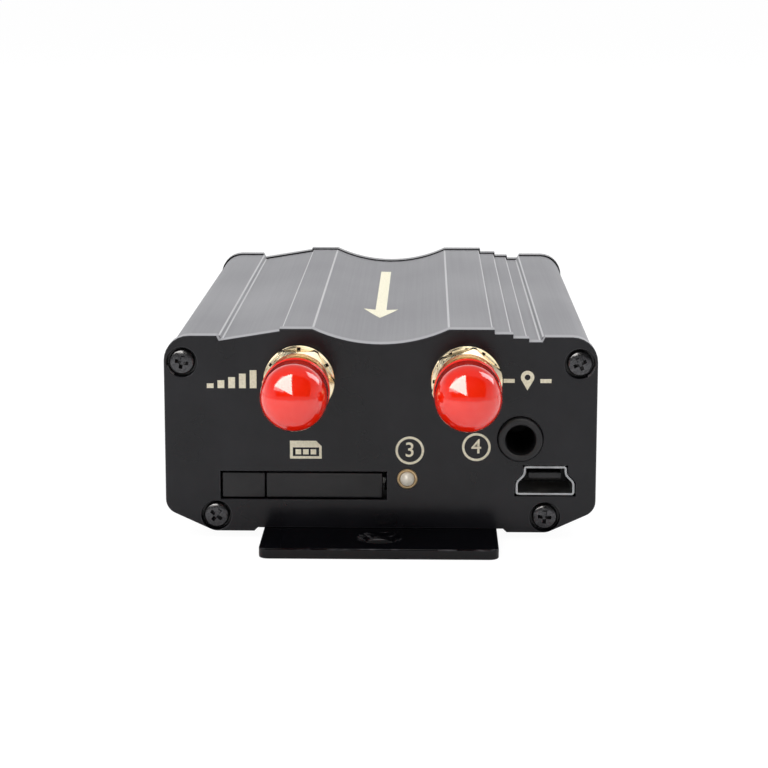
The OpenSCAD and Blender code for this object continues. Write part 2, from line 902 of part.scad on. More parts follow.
module sim_eject_lever() {
    color(tin)
        difference() {
            block([lever_x - lever_left, lever_y - lever_w / 2, lever_z],
                [lever_x + lever_right, lever_y + lever_w / 2, lever_z + lever_t]);
            translate([lever_x, lever_y, foot_z + lever_z - cut])
                cylinder(r = pin_r + run_gap, h = lever_t + 2 * cut);
        }
}

// Status light

module status_led() {
    dome = [for (i = [0:lens_steps])
        [led_r * cos(90 * i / lens_steps), led_out + led_r * sin(90 * i / lens_steps)]];
    color(lens_white)
        turned(led_x, front_y, led_z)
            polygon(concat([[0, -led_len], [led_r, -led_len]], dome));
}

module led_bezel() {
    color(gold)
        turned(led_x, front_y, led_z)
            polygon([[led_r + seat_gap / 2, -plate_t], [led_r + bezel_sleeve, -plate_t],
                [led_r + bezel_sleeve, 0],
                [bezel_r, 0], [bezel_r, bezel_lip / 2], [bezel_r - bezel_lip / 2, bezel_lip],
                [led_r + seat_gap / 2, bezel_lip]]);
}

module led_holder() {
    half = led_r + led_holder_wall;
    color(mould_black)
        difference() {
            block([led_x - half, led_holder_y, led_z - half],
                [led_x + half, led_holder_y + led_holder_len, board_rise]);
            rod(led_x, led_z, led_r, led_holder_y - cut, led_holder_y + led_holder_len + cut);
        }
}

// Audio jack

module audio_jack() {
    body_y = -half_len + seat_gap;
    color(mould_black)
        difference() {
            union() {
                block([audio_x - audio_side, body_y, board_top],
                    [audio_x + audio_side, audio_end_y, board_top + audio_height]);
                rod(audio_x, audio_z, audio_nose_r, front_y - audio_out, body_y);
            }
            rod(audio_x, audio_z, audio_bore_r, front_y - audio_out - cut, front_y - audio_out + audio_depth);
            turned(audio_x, front_y, audio_z)
                polygon([[0, audio_out - audio_funnel], [audio_bore_r, audio_out - audio_funnel],
                    [audio_bore_r + audio_funnel, audio_out],
                    [audio_bore_r + audio_funnel, audio_out + cut],
                    [0, audio_out + cut]]);
        }
}

module audio_jack_contacts() {
    body_y = -half_len + seat_gap;
    tab_y = body_y + audio_tab_share * (audio_end_y - body_y);
    color(tin) {
        for (side = [-1, 1])
            block([audio_x + side * (audio_side + audio_tab_t / 2) - audio_tab_t / 2, tab_y, board_top],
                [audio_x + side * (audio_side + audio_tab_t / 2) + audio_tab_t / 2, tab_y + audio_tab_w,
                    board_top + audio_tab_h]);
        block([audio_x - audio_tab_w / 2, audio_end_y, board_top],
            [audio_x + audio_tab_w / 2, audio_end_y + audio_tab_t, board_top + audio_tab_h]);
    }
}

// USB

// Outline of the shell, wide side down, grown by g
module usb_outline(g) {
    wide = usb_w / 2 + g;
    narrow = usb_narrow_w / 2 + g;
    half = usb_h / 2 + g;
    polygon([[-wide, -half], [wide, -half], [wide, (usb_waist_shares[0] - 0.5) * usb_h],
        [narrow, (usb_waist_shares[1] - 0.5) * usb_h], [narrow, half], [-narrow, half],
        [-narrow, (usb_waist_shares[1] - 0.5) * usb_h], [-wide, (usb_waist_shares[0] - 0.5) * usb_h]]);
}

module usb_shell() {
    color(tin)
        along_y(front_y + usb_inset, front_y + usb_inset + usb_depth)
            translate([usb_x, usb_z])
                difference() {
                    usb_outline(0);
                    usb_outline(-usb_t);
                }
}

module usb_tongue() {
    back_y = front_y + usb_inset + usb_depth;
    color(mould_black) {
        along_y(back_y - tongue_back, back_y)
            translate([usb_x, usb_z])
                usb_outline(-usb_t);
        block([usb_x - tongue_w / 2, front_y + usb_inset + tongue_inset, usb_z],
            [usb_x + tongue_w / 2, back_y - tongue_back, usb_z + tongue_t]);
    }
}

// Harness header

module harness_pin_bars() {
    root_y = header_y - header_depth;
    middle_z = board_top + header_h / 2;
    foot_y = root_y - header_back - pin_foot_y;
    for (i = [0:pin_columns - 1], row = [-1, 1]) {
        x = header_x + (i - (pin_columns - 1) / 2) * pin_column_gap;
        z = middle_z + row * pin_row_gap / 2;
        y = foot_y - (row > 0 ? pin_row_step : 0);
        block([x - pin_w / 2, y, z - pin_w / 2], [x + pin_w / 2, root_y + pin_len, z + pin_w / 2]);
        block([x - pin_w / 2, y, board_top], [x + pin_w / 2, y + pin_w, z]);
    }
}

module harness_header() {
    root_y = header_y - header_depth;
    color(mould_black)
        difference() {
            block([header_x - header_w / 2, root_y - header_back, board_top],
                [header_x + header_w / 2, header_y, board_top + header_h]);
            block([header_x - header_w / 2 + header_wall, root_y, board_top + header_wall],
                [header_x + header_w / 2 - header_wall, header_y + cut, board_top + header_h - header_wall]);
            block([header_x - key_w / 2, root_y, board_top + header_h - header_wall - cut],
                [header_x + key_w / 2, header_y + cut, board_top + header_h - header_wall + key_t]);
            harness_pin_bars();
        }
}

module harness_pins() {
    color(tin)
        harness_pin_bars();
}

// Power switch

// Space that the knob slides in, from y0 to y1
module knob_slot(y0, y1) {
    half_h = knob_h / 2 + face_gap;
    block([knob_x - knob_w / 2 - face_gap, y0, knob_z - half_h],
        [knob_x + switch_travel + knob_w / 2 + face_gap, y1, knob_z + half_h]);
}

module power_switch_body() {
    sled_half = sled_w / 2 + switch_travel / 2 + rod_play;
    sled_half_h = sled_h / 2 + rod_play;
    sled_end_y = switch_y + switch_back + sled_d + 2 * rod_play;
    color(mould_black)
        difference() {
            block([switch_x - switch_w / 2, switch_y, board_top],
                [switch_x + switch_w / 2, switch_y + switch_d, board_top + switch_h]);
            block([switch_x - sled_half, switch_y + switch_back, knob_z - sled_half_h],
                [switch_x + sled_half, sled_end_y, knob_z + sled_half_h]);
            knob_slot(switch_y + switch_back, half_len);
        }
}

module power_switch_knob() {
    sled_y = switch_y + switch_back + rod_play;
    color(mould_black) {
        block([knob_x - sled_w / 2, sled_y, knob_z - sled_h / 2], [knob_x + sled_w / 2, sled_y + sled_d,
            knob_z + sled_h / 2]);
        block([knob_x - knob_w / 2, sled_y, knob_z - knob_h / 2],
            [knob_x + knob_w / 2, rear_y + knob_out,
            knob_z + knob_h / 2]);
    }
}

// Board and what stands on it

module circuit_board() {
    color(board_green)
        block([-board_half_w, -half_len + board_edge_gap, board_rise],
            [board_half_w, half_len - board_edge_gap, board_top]);
}

// Screening can: a lid with a low rim round its foot
module can(x, y, size) {
    on_board(x, y, size - [2 * can_rim, 2 * can_rim, 0]);
    on_board(x, y, [size.x, size.y, can_rim_h]);
}

module cellular_module() {
    color(tin)
        can(0, cellular_y, cellular_size);
}

module positioning_module() {
    color(tin)
        can(0, positioning_y, positioning_size);
}

module controller_chip() {
    color(mould_black)
        on_board(chip_x, positioning_y, chip_size);
}

module vibration_sensor() {
    color(gold)
        translate([-(edge_part_x - sensor_r), cellular_y + cellular_size.y / 2, foot_z + board_top])
            cylinder(r = sensor_r, h = sensor_h);
}

module capacitors() {
    color(tin)
        for (i = [0, 1]) {
            x = edge_part_x - capacitor_r;
            y = positioning_y + i * capacitor_gap - capacitor_gap / 2;
            on_board(x, y, [2 * capacitor_r, 2 * capacitor_r, capacitor_base_h]);
            translate([x, y, foot_z + board_top])
                cylinder(r = capacitor_r, h = capacitor_h);
        }
}

module power_inductor() {
    x = edge_part_x - inductor_size.x / 2;
    color(mould_black) {
        on_board(x, cellular_y, [inductor_size.x, inductor_size.y, inductor_size.z / 2]);
        translate([x, cellular_y, foot_z + board_top])
            cylinder(r = inductor_core_r, h = inductor_size.z);
    }
}

module backup_battery() {
    color(foil)
        translate([0, battery_y, foot_z + battery_z])
            linear_extrude(battery_t)
                difference() {
                    square([battery_w, battery_len], center = true);
                    for (sx = [-1, 1], sy = [-1, 1])
                        translate([sx * battery_w / 2, sy * battery_len / 2])
                            scale([sx, sy])
                                corner_cut(battery_r);
                }
}

module battery_tape() {
    color(white_plastic)
        block([-tape_size.x / 2, cellular_y - tape_size.y / 2, battery_z - tape_size.z],
            [tape_size.x / 2, cellular_y + tape_size.y / 2, battery_z]);
}

module battery_header() {
    color(white_plastic)
        on_board(plug_x, plug_y - plug_size.y / 2, plug_size);
}

module battery_plug() {
    color(white_plastic)
        on_board(plug_x, plug_y + plug_size.y / 2, plug_size);
}

// A tube through smooth turns between the route's points
function along(points, t) =
    let (
        last = len(points) - 1,
        i = min(floor(t), last - 1),
        u = t - i,
        a = points[max(i - 1, 0)],
        b = points[i],
        c = points[i + 1],
        d = points[min(i + 2, last)]
    )
    (2 * b + (c - a) * u + (2 * a - 5 * b + 4 * c - d) * u * u + (3 * b - a - 3 * c + d) * u * u * u) / 2;

module tube(points, r) {
    last = len(points) - 1;
    places = [for (i = [0:tube_steps]) along(points, last * i / tube_steps)];
    ways = [for (i = [0:tube_steps]) i == 0 ? unit(points[1] - points[0])
        : i == tube_steps ? unit(points[last] - points[last - 1]) : unit(places[i + 1] - places[i - 1])];
    rings = [for (i = [0:tube_steps])
        let (side = unit(cross(ways[i], [0, 0, 1])), up = cross(side, ways[i]))
        for (k = [0:tube_sides - 1])
            places[i] + r * (side * cos(360 * k / tube_sides) + up * sin(360 * k / tube_sides))];
    walls = [for (i = [0:tube_steps - 1], k = [0:tube_sides - 1])
        let (a = i * tube_sides + k, b = i * tube_sides + (k + 1) % tube_sides)
        each [[a, b, b + tube_sides], [a, b + tube_sides, a + tube_sides]]];
    polyhedron(
        points = rings,
        faces = concat(
            walls,
            [[for (k = [tube_sides - 1:-1:0]) k]],
            [[for (k = [0:tube_sides - 1]) tube_steps * tube_sides + k]]));
}

module battery_lead() {
    start_y = battery_y + battery_len / 2;
    end_y = plug_y + plug_size.y;
    high = foot_z + battery_z + battery_t / 2;
    low = foot_z + board_top + lead_z;
    start_x = plug_x + plug_size.x + lead_gap;
    for (i = [0, 1])
        color(i == 0 ? cap_red : mould_black)
            tube([
                [start_x + i * lead_gap, start_y, high],
                [start_x + i * lead_gap, start_y + lead_z, high],
                [(start_x + plug_x) / 2 + i * lead_gap, start_y + 2 * lead_z, (high + low) / 2],
                [plug_x + i * lead_gap, (start_y + end_y) / 2 + lead_z, low],
                [plug_x + i * lead_gap, end_y, low]], lead_r);
}

// Coaxial lead: straight out of its jack, past the battery's edge, then down to its plug
module pigtail(jack_x, plug_x) {
    side = sign(plug_x);
    high = foot_z + jack_z;
    low = foot_z + board_top + coax_plug_h / 2;
    end_y = coax_plug_y - coax_plug_r;
    reach = 3 * coax_r;
    edge_x = max(battery_w / 2 + 2 * reach, (battery_w / 2 + abs(plug_x)) / 2);
    color(mould_black)
        tube([
            [jack_x, coax_start_y + seat_gap, high],
            [jack_x, coax_start_y + reach, high],
            [side * edge_x, (coax_start_y + end_y) / 2 - reach / 2, high - reach / 2],
            [plug_x, end_y - 2 * reach, (high + low) / 2 - reach],
            [plug_x, end_y - reach / 2, low],
            [plug_x, end_y - seat_gap, low]], coax_r);
}

module pigtail_plug(x) {
    color(gold) {
        translate([x, coax_plug_y, foot_z + board_top])
            cylinder(r = coax_plug_r, h = coax_plug_h);
        block([x - coax_r, coax_plug_y - coax_plug_r, board_top],
            [x + coax_r, coax_plug_y, board_top + coax_plug_h]);
    }
}

housing_extrusion();
front_plate();
rear_plate();
front_screws();
rear_screws();
mounting_bracket();
bracket_screws();
antenna_jack(left_jack_x);  // left_antenna_jack
antenna_jack(right_jack_x);  // right_antenna_jack
jack_insulator(left_jack_x);  // left_jack_insulator
jack_insulator(right_jack_x);  // right_jack_insulator
jack_contact(left_jack_x);  // left_jack_contact
jack_contact(right_jack_x);  // right_jack_contact
lock_washer(left_jack_x);  // left_lock_washer
lock_washer(right_jack_x);  // right_lock_washer
hex_nut(left_jack_x);  // left_hex_nut
hex_nut(right_jack_x);  // right_hex_nut
dust_cap(left_jack_x);  // left_dust_cap
dust_cap(right_jack_x);  // right_dust_cap
sim_socket();
sim_contacts();
sim_tray();
sim_card();
sim_eject_button();
sim_eject_lever();
status_led();
led_bezel();
led_holder();
audio_jack();
audio_jack_contacts();
usb_shell();
usb_tongue();
harness_header();
harness_pins();
power_switch_body();
power_switch_knob();
circuit_board();
cellular_module();
positioning_module();
controller_chip();
vibration_sensor();
capacitors();
power_inductor();
backup_battery();
battery_tape();
battery_header();
battery_plug();
battery_lead();
pigtail(left_jack_x, -coax_plug_x);  // left_pigtail
pigtail(right_jack_x, coax_plug_x);  // right_pigtail
pigtail_plug(-coax_plug_x);  // left_pigtail_plug
pigtail_plug(coax_plug_x);  // right_pigtail_plug
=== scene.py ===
# %% [markdown]
# # A vehicle tracker, dressed
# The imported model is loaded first. It is the fixed frame: every new piece is made to its sizes
# and rides on one of its bodies, so the caps, tray, button, lever and switch still move.

# %% Load the frame
import json
import math

import bmesh
import bpy
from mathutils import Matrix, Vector

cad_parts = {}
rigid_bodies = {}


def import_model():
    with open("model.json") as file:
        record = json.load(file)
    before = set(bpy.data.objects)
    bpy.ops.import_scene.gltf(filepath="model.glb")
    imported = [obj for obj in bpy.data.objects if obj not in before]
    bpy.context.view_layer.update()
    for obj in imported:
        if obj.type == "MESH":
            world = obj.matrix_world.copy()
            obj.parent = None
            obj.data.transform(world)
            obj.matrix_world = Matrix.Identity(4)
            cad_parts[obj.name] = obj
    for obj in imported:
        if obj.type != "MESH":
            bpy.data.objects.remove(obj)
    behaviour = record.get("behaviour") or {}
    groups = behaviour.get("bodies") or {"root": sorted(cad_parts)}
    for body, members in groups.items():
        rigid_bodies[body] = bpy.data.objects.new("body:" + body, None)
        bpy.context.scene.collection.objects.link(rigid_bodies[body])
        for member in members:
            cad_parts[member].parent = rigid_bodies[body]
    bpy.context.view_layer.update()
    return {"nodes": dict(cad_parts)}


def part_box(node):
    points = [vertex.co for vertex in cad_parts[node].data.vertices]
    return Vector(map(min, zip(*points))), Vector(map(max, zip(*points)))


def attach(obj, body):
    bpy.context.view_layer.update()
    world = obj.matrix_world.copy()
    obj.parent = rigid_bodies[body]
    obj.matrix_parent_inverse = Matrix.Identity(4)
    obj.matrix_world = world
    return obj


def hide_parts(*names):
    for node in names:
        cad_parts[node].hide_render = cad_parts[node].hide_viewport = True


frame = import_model()

# %% [markdown]
# The object is small, so it is modelled in millimetres and brought to metres when a piece is
# settled. Places could be typed by hand, but the corners of the CAD nodes give most of them
# without a slip. The front plate's face looks towards -Y.

# %% Measures from the frame
MM = 0.001


def corners(node):
    """Lowest and highest corner of a CAD node, in millimetres."""
    low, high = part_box(node)
    return low / MM, high / MM


def centre(node):
    """Middle of a CAD node in x, y and z, in millimetres."""
    return [(low + high) / 2 for low, high in zip(*corners(node))]


front_y = corners("front_plate")[0].y
rear_y = corners("rear_plate")[1].y
print("front plate faces", round(front_y, 3), "rear plate ends", round(rear_y, 3))

# %% [markdown]
# ## Camera
# The photo is taken with a long lens from a little above and slightly to the right. The camera
# comes first, because everything after it is seen through it.

# %% Camera
CAMERA_DOWN, CAMERA_ROLL, CAMERA_TURN = 10.612, -0.083, 1.115
bpy.ops.object.select_all(action="DESELECT")
bpy.ops.object.camera_add(location=(0.005705, -0.315725, 0.07131))
camera = bpy.context.object
camera.rotation_euler = [math.radians(a) for a in (90 - CAMERA_DOWN, CAMERA_ROLL, CAMERA_TURN)]
camera.data.lens = 104.4
camera.data.sensor_width = 36
camera.data.clip_start = 0.01
bpy.context.scene.camera = camera
bpy.context.scene.view_settings.view_transform = "Standard"
print("lens", camera.data.lens)

# %% [markdown]
# ## Modelling helpers
# Each piece starts as a primitive, is shaped in edit mode and settled. By hand you would click
# on what to bevel or extrude. Here a test on each face, edge or vertex does the selecting, so
# the same step works again when a size changes.

# %% Modes and selection


def edit_mode():
    """Opens the active piece for editing."""
    bpy.ops.object.mode_set(mode="EDIT")


def object_mode():
    """Leaves edit mode, if it is on."""
    if bpy.context.object and bpy.context.object.mode == "EDIT":
        bpy.ops.object.mode_set(mode="OBJECT")


def clear():
    """Leaves edit mode and deselects everything."""
    object_mode()
    bpy.ops.object.select_all(action="DESELECT")


def only(*pieces):
    """Selects these pieces and no others, in object mode."""
    clear()
    for piece in pieces:
        piece.select_set(True)
    bpy.context.view_layer.objects.active = pieces[0]


def take_all():
    """In edit mode, selects every vertex."""
    bpy.ops.mesh.select_mode(type="VERT")
    bpy.ops.mesh.select_all(action="SELECT")


def pick(kind, test):
    """In edit mode, selects the faces, edges or verts that pass the test."""
    bpy.ops.mesh.select_mode(type={"faces": "FACE", "edges": "EDGE", "verts": "VERT"}[kind])
    bpy.ops.mesh.select_all(action="DESELECT")
    mesh = bpy.context.edit_object.data
    work = bmesh.from_edit_mesh(mesh)
    count = 0
    for part in getattr(work, kind):
        if not part.hide and test(part):
            part.select_set(True)
            count += 1
    work.select_flush_mode()
    bmesh.update_edit_mesh(mesh)
    return count


def middle(face):
    """Middle of a face."""
    return sum((v.co for v in face.verts), Vector()) / len(face.verts)


def span(edge, axis):
    """How far an edge runs along the axis x, y or z."""
    first, second = edge.verts
    return abs(getattr(first.co, axis) - getattr(second.co, axis))


# %% [markdown]
# A primitive is added at its size and place and opened in edit mode with all of it selected.
# Extrude and bevel then act on whatever a test has picked, as they do by hand.

# %% Start and shape


def start(name, primitive, **how):
    """Adds a primitive, applies its place and leaves it open in edit mode."""
    clear()
    getattr(bpy.ops.mesh, f"primitive_{primitive}_add")(**how)
    piece = bpy.context.object
    piece.name = piece.data.name = name
    bpy.ops.object.transform_apply()
    edit_mode()
    take_all()
    return piece


def push(way):
    """Extrudes what is selected."""
    bpy.ops.mesh.extrude_region_move(TRANSFORM_OT_translate={"value": way})


def bevel(width, segments=2):
    """Bevels the selected edges."""
    bpy.ops.mesh.bevel(offset=width, offset_type="OFFSET", segments=segments, affect="EDGES")


def close_up():
    """Leaves edit mode with doubles merged and faces pointing outwards."""
    take_all()
    bpy.ops.mesh.remove_doubles(threshold=0.0005)
    bpy.ops.mesh.normals_make_consistent(inside=False)
    object_mode()


# %% [markdown]
# Modifiers are applied at once, so that each piece is plain geometry before the next step.
# Booleans could stay live, but then their cutters would have to stay in the scene too.

# %% Modify, cut, copy and join


def modify(piece, kind, **settings):
    """Adds a modifier and applies it."""
    only(piece)
    modifier = piece.modifiers.new(kind.title(), kind)
    for key, value in settings.items():
        setattr(modifier, key, value)
    bpy.ops.object.modifier_apply(modifier=modifier.name)


def carve(piece, cutter, operation="DIFFERENCE"):
    """Cuts piece with cutter, joins them, or keeps what they share, and drops the cutter."""
    modify(piece, "BOOLEAN", object=cutter, operation=operation, solver="EXACT")
    bpy.data.objects.remove(cutter)


def copied(piece, name):
    """A copy with a mesh of its own."""
    twin = piece.copy()
    twin.data = piece.data.copy()
    twin.name = twin.data.name = name
    bpy.context.scene.collection.objects.link(twin)
    return twin


def joined(pieces, name=None):
    """Joins pieces into the first, and renames it if there is a name."""
    only(*pieces)
    bpy.ops.object.join()
    whole = bpy.context.object
    if name:
        whole.name = whole.data.name = name
    return whole


# %% [markdown]
# A finished piece is settled: it is smoothed, brought to metres, given its finish and put on the
# body it rides on, and the CAD nodes it stands for are hidden and noted as replaced. Doing this
# in one place means that no piece is left behind when a joint moves.

# %% Settle
replaced = set()


def settle(piece, finish, body, *nodes, angle=50):
    """Smooths a piece, brings it to metres, gives it its finish and body, and hides its CAD nodes.

    Weighted normals keep broad faces flat, so that only the bevels round the light off.
    """
    only(piece)
    piece.scale = (MM, MM, MM)
    bpy.ops.object.transform_apply()
    bpy.ops.object.shade_smooth_by_angle(angle=math.radians(angle))
    modify(piece, "WEIGHTED_NORMAL", keep_sharp=True, weight=90)
    piece.data.materials.clear()
    piece.data.materials.append(finish.material)
    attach(piece, body)
    if nodes:
        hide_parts(*nodes)
        replaced.update(nodes)
    print(piece.name, len(piece.data.polygons), "faces")


# %% [markdown]
# Turned parts come from one outline: a vertex is extruded from point to point and spun round
# an axis along Y. Flat parts come from a closed outline that is filled and extruded. A curve
# with a bevel could give both, but an outline of points keeps every step of the profile exact.

# %% Outlines, turned and extruded parts


def chain(name, points):
    """Extrudes a vertex from point to point."""
    piece = start(name, "plane", size=1, location=points[0])
    bpy.ops.mesh.merge(type="CENTER")
    for here, there in zip(points, points[1:]):
        push(Vector(there) - Vector(here))
    return piece


def turned(name, profile, place, steps=64, upright=False):
    """Spins a profile of (radius, distance) round an axis that points to -Y, or up."""
    x, y, z = place
    piece = chain(name, [(x + r, y, z + d) if upright else (x + r, y - d, z) for r, d in profile])
    take_all()
    bpy.ops.mesh.spin(steps=steps, angle=2 * math.pi, center=place,
                      axis=(0, 0, 1) if upright else (0, 1, 0))
    close_up()
    return piece


def block(name, low, high, width=0.0, segments=2):
    """A box between two corners, its edges bevelled."""
    low, high = Vector(low), Vector(high)
    piece = start(name, "cube", size=1, location=(low + high) / 2, scale=high - low)
    if width:
        bevel(width, segments)
    object_mode()
    return piece


def slab(name, outline, start_at, end_at, upright=False):
    """Fills an outline of (x, z) and extrudes it along Y, or of (x, y) and extrudes it up."""
    piece = chain(name, [(a, b, end_at) if upright else (a, end_at, b) for a, b in outline])
    way = start_at - end_at
    take_all()
    bpy.ops.mesh.edge_face_add()
    push((0, 0, way) if upright else (0, way, 0))
    close_up()
    return piece


def rod(name, x, z, radius, y0, y1):
    """A cylinder along Y."""
    piece = start(name, "cylinder", vertices=48, radius=radius, depth=y1 - y0,
                  location=(x, (y0 + y1) / 2, z), rotation=(math.pi / 2, 0, 0))
    object_mode()
    return piece


# %% [markdown]
# The case, plates and strap already have the right shape in CAD, but their edges are knife
# sharp. A bevel node in the material would only fake the soft edges. So a copy of such a node
# is merged, its flat faces are rejoined, and the edges that show are bevelled, which is what
# catches the light on anodised and painted metal. The new faces are marked in an attribute
# called edge. The strap uses it for its wear, the plates for slightly lighter edges, and the
# case for a painted highlight along its ridges.

# %% Copies of CAD nodes with real edges


def recast(node, name):
    """A merged copy of a CAD node in millimetres, left in edit mode."""
    piece = copied(frame["nodes"][node], name)
    piece.parent = None
    for key in list(piece.keys()):
        del piece[key]
    only(piece)
    piece.scale = (1 / MM, 1 / MM, 1 / MM)
    bpy.ops.object.transform_apply()
    edit_mode()
    take_all()
    bpy.ops.mesh.remove_doubles(threshold=0.002)
    bpy.ops.mesh.customdata_custom_splitnormals_clear()
    bpy.ops.mesh.dissolve_limited(angle_limit=math.radians(0.4))
    return piece


def mark(piece, name, test):
    """Writes 1 into an attribute on the faces that pass the test, and 0 on the rest."""
    object_mode()
    values = piece.data.attributes.new(name, "FLOAT", "FACE").data
    for face in piece.data.polygons:
        values[face.index].value = 1.0 if test(face) else 0.0


# %% [markdown]
# ## Finishes
# A finish is one material. Its nodes could be drawn by hand in the shader editor, but the maths
# reads better with ordinary operators: Value wraps a socket, and each expression on it adds a
# Math node.

# %% Value


class Value:
    """A socket of a node tree, on which + - and * add Math nodes."""

    def __init__(self, owner, socket):
        self.owner = owner
        self.socket = socket

    def math(self, operation, other):
        """Adds a Math node that works on this value and another."""
        return self.owner.node("ShaderNodeMath", {"operation": operation},
                               **{"0": self, "1": other})

    def __add__(self, other):
        return self.math("ADD", other)

    def __sub__(self, other):
        return self.math("SUBTRACT", other)

    def __rsub__(self, other):
        return (self * -1) + other

    def __mul__(self, other):
        return self.math("MULTIPLY", other)

    __radd__ = __add__
    __rmul__ = __mul__

    def between(self, low, high):
        """0 below low, 1 above high, and a straight line between."""
        return self.owner.node("ShaderNodeMapRange", {}, Value=self,
                               **{"From Min": low, "From Max": high})


# %% [markdown]
# One method adds every other kind of node. It takes the node's type, its settings, and the
# values or links of its sockets, so that a finish reads as a list of what it is made of.

# %% Node trees


class Nodes:
    """A node tree to which nodes are added by one method."""

    def __init__(self, tree):
        self.tree = tree

    def set(self, socket, value):
        """Links a Value to a socket, or writes a number, a vector or a colour there."""
        if isinstance(value, Value):
            self.tree.links.new(value.socket, socket)
        else:
            socket.default_value = (*value, 1) if socket.type == "RGBA" else value

    def node(self, kind, settings, output=0, **values):
        """Adds a node, makes its settings, and sets or links its sockets."""
        made = self.tree.nodes.new(kind)
        for key, value in settings.items():
            setattr(made, key, value)
        for key, value in values.items():
            self.set(made.inputs[int(key) if key.isdigit() else key], value)
        return Value(self, made.outputs[output])

    def parts(self, vector):
        """The x, y and z of a vector."""
        split = self.tree.nodes.new("ShaderNodeSeparateXYZ")
        self.tree.links.new(vector.socket, split.inputs[0])
        return [Value(self, out) for out in split.outputs]

    def mix(self, factor, first, second):
        """Blends two colours. A Mix node keeps its colour sockets at 6 and 7."""
        return self.node("ShaderNodeMix", {"data_type": "RGBA"}, output=2,
                         **{"0": factor, "6": first, "7": second})


# %% [markdown]
# A finish knows what most of them need: noise in features per millimetre, the faces that were
# marked as edges, colour and roughness that drift a little, and a bump. Everything is worked
# out from Object coordinates, so a pattern stays on its piece when the piece moves.

# %% Finish


class Finish(Nodes):
    """A procedural material and the record's slot that it belongs to."""

    def __init__(self, name, slot, **constants):
        self.slot = slot
        self.material = bpy.data.materials.new(name)
        self.material.use_nodes = True
        super().__init__(self.material.node_tree)
        self.shader = self.tree.nodes["Principled BSDF"]
        self.place = self.node("ShaderNodeTexCoord", {}, output="Object")
        for key, value in constants.items():
            self.shader.inputs[key.replace("_", " ")].default_value = value

    def stretched(self, scale):
        """Object coordinates in millimetres, times one scale or one for each axis."""
        scale = scale if isinstance(scale, tuple) else (scale,) * 3
        return self.node("ShaderNodeMapping", {}, Vector=self.place,
                         Scale=tuple(s / MM for s in scale))

    def noise(self, scale, detail=3.0, rough=0.5):
        """Noise from 0 to 1, with scale in features per millimetre."""
        return self.node("ShaderNodeTexNoise", {"noise_dimensions": "3D"},
                         Vector=self.stretched(scale), Scale=1.0, Detail=detail,
                         Roughness=rough)

    def marked(self, name="edge"):
        """An attribute of the piece: 1 on the faces that were marked with it."""
        return self.node("ShaderNodeAttribute", {"attribute_name": name}, output="Fac")

    def feed(self, **sockets):
        """Links values to the shader: colour, roughness, metallic, coat or emission."""
        for key, value in sockets.items():
            self.tree.links.new(value.socket, self.shader.inputs[key.replace("_", " ")])

    def drift(self, tone, dark, light, grain, least, swing, spread=(0.3, 0.7)):
        """Colour goes from dark to light with tone, roughness from least up with grain."""
        self.feed(Base_Color=self.mix(tone.between(*spread), dark, light),
                  Roughness=least + swing * grain)

    def relief(self, height, depth):
        """Bump from a height of 0 to 1, depth millimetres deep."""
        bump = self.node("ShaderNodeBump", {}, output="Normal", Height=height,
                         Distance=depth * MM, Strength=1.0)
        self.feed(Normal=bump)


# %% [markdown]
# The case is extruded aluminium under a satin grey finish: a fine even grain and faint long draw
# lines from the die. Its ridges are painted a much lighter grey, a painted highlight where the
# edges catch the light. Noise that is stretched along Y gives the draw lines without an image.

# %% Case finish
case_finish = Finish("case_grey", "case_metal", Metallic=0.55)
grain = case_finish.noise(7, detail=2)
draw = case_finish.noise((3.2, 0.02, 3.2))
cloud = case_finish.noise((0.05, 0.03, 0.05), detail=2)
lighter_edge = case_finish.marked()
tone = 0.62 * cloud + 0.25 * draw + 0.13 * grain
satin = case_finish.mix(tone.between(0.3, 0.7), (0.235, 0.235, 0.25), (0.33, 0.33, 0.345))
# The marked ridge faces are painted a light grey: a painted highlight along the ridges.
case_finish.feed(Base_Color=case_finish.mix(lighter_edge * 0.85, satin, (0.62, 0.62, 0.63)),
                 Roughness=0.4 + 0.14 * grain - 0.1 * lighter_edge)
case_finish.relief(0.6 * grain + 0.4 * draw, 0.012)
print("case finish made")

# %% [markdown]
# The end plates are aluminium under satin black paint, with a very fine spray texture. The
# top of the front plate's rim is painted a light grey, like the case: a painted highlight.
# The strap has the same black in a glossier coat, a little uneven from dipping. One black for
# all would be quicker, but their edges and their gloss are what tell them apart.

# %% Black paints
plate_finish = Finish("plate_black", "plate_paint", IOR=1.45, Specular_IOR_Level=0.37)
speck = plate_finish.noise(9, detail=2)
haze = plate_finish.noise(0.12)
lighter_edge, rim = plate_finish.marked(), plate_finish.marked("rim")
paint = plate_finish.mix(haze.between(0.35, 0.65), (0.007, 0.007, 0.009), (0.012, 0.012, 0.015))
paint = plate_finish.mix(lighter_edge * (0.2 + 0.4 * haze), paint, (0.06, 0.06, 0.065))
# The marked top of the front plate's rim is painted light grey and half metallic: a painted
# highlight.
plate_finish.feed(Base_Color=plate_finish.mix(rim, paint, (0.42, 0.42, 0.435)),
                  Metallic=rim * 0.5,
                  Roughness=0.13 + 0.06 * speck + 0.04 * haze + 0.25 * rim)
plate_finish.relief(speck, 0.004)

strap_finish = Finish("strap_black", "strap_paint", IOR=1.45, Specular_IOR_Level=0.35)
orange_peel = strap_finish.noise(0.7, detail=1)
scuff = strap_finish.noise((0.3, 1.5, 1.5), detail=4, rough=0.6)
scuffed_edge = strap_finish.marked() * scuff.between(0.5, 0.65)
strap_finish.feed(
    Base_Color=strap_finish.mix(scuffed_edge, (0.002, 0.002, 0.003), (0.07, 0.07, 0.075)),
    Roughness=0.06 + 0.1 * scuff.between(0.45, 0.75))
strap_finish.relief(orange_peel, 0.006)

screw_finish = Finish("black_oxide", "screw_black", Metallic=0.85)
oxide = screw_finish.noise(5)
screw_finish.drift(oxide, (0.045, 0.045, 0.048), (0.11, 0.11, 0.115), oxide, 0.14, 0.14)
screw_finish.relief(oxide, 0.006)
print("paints made")

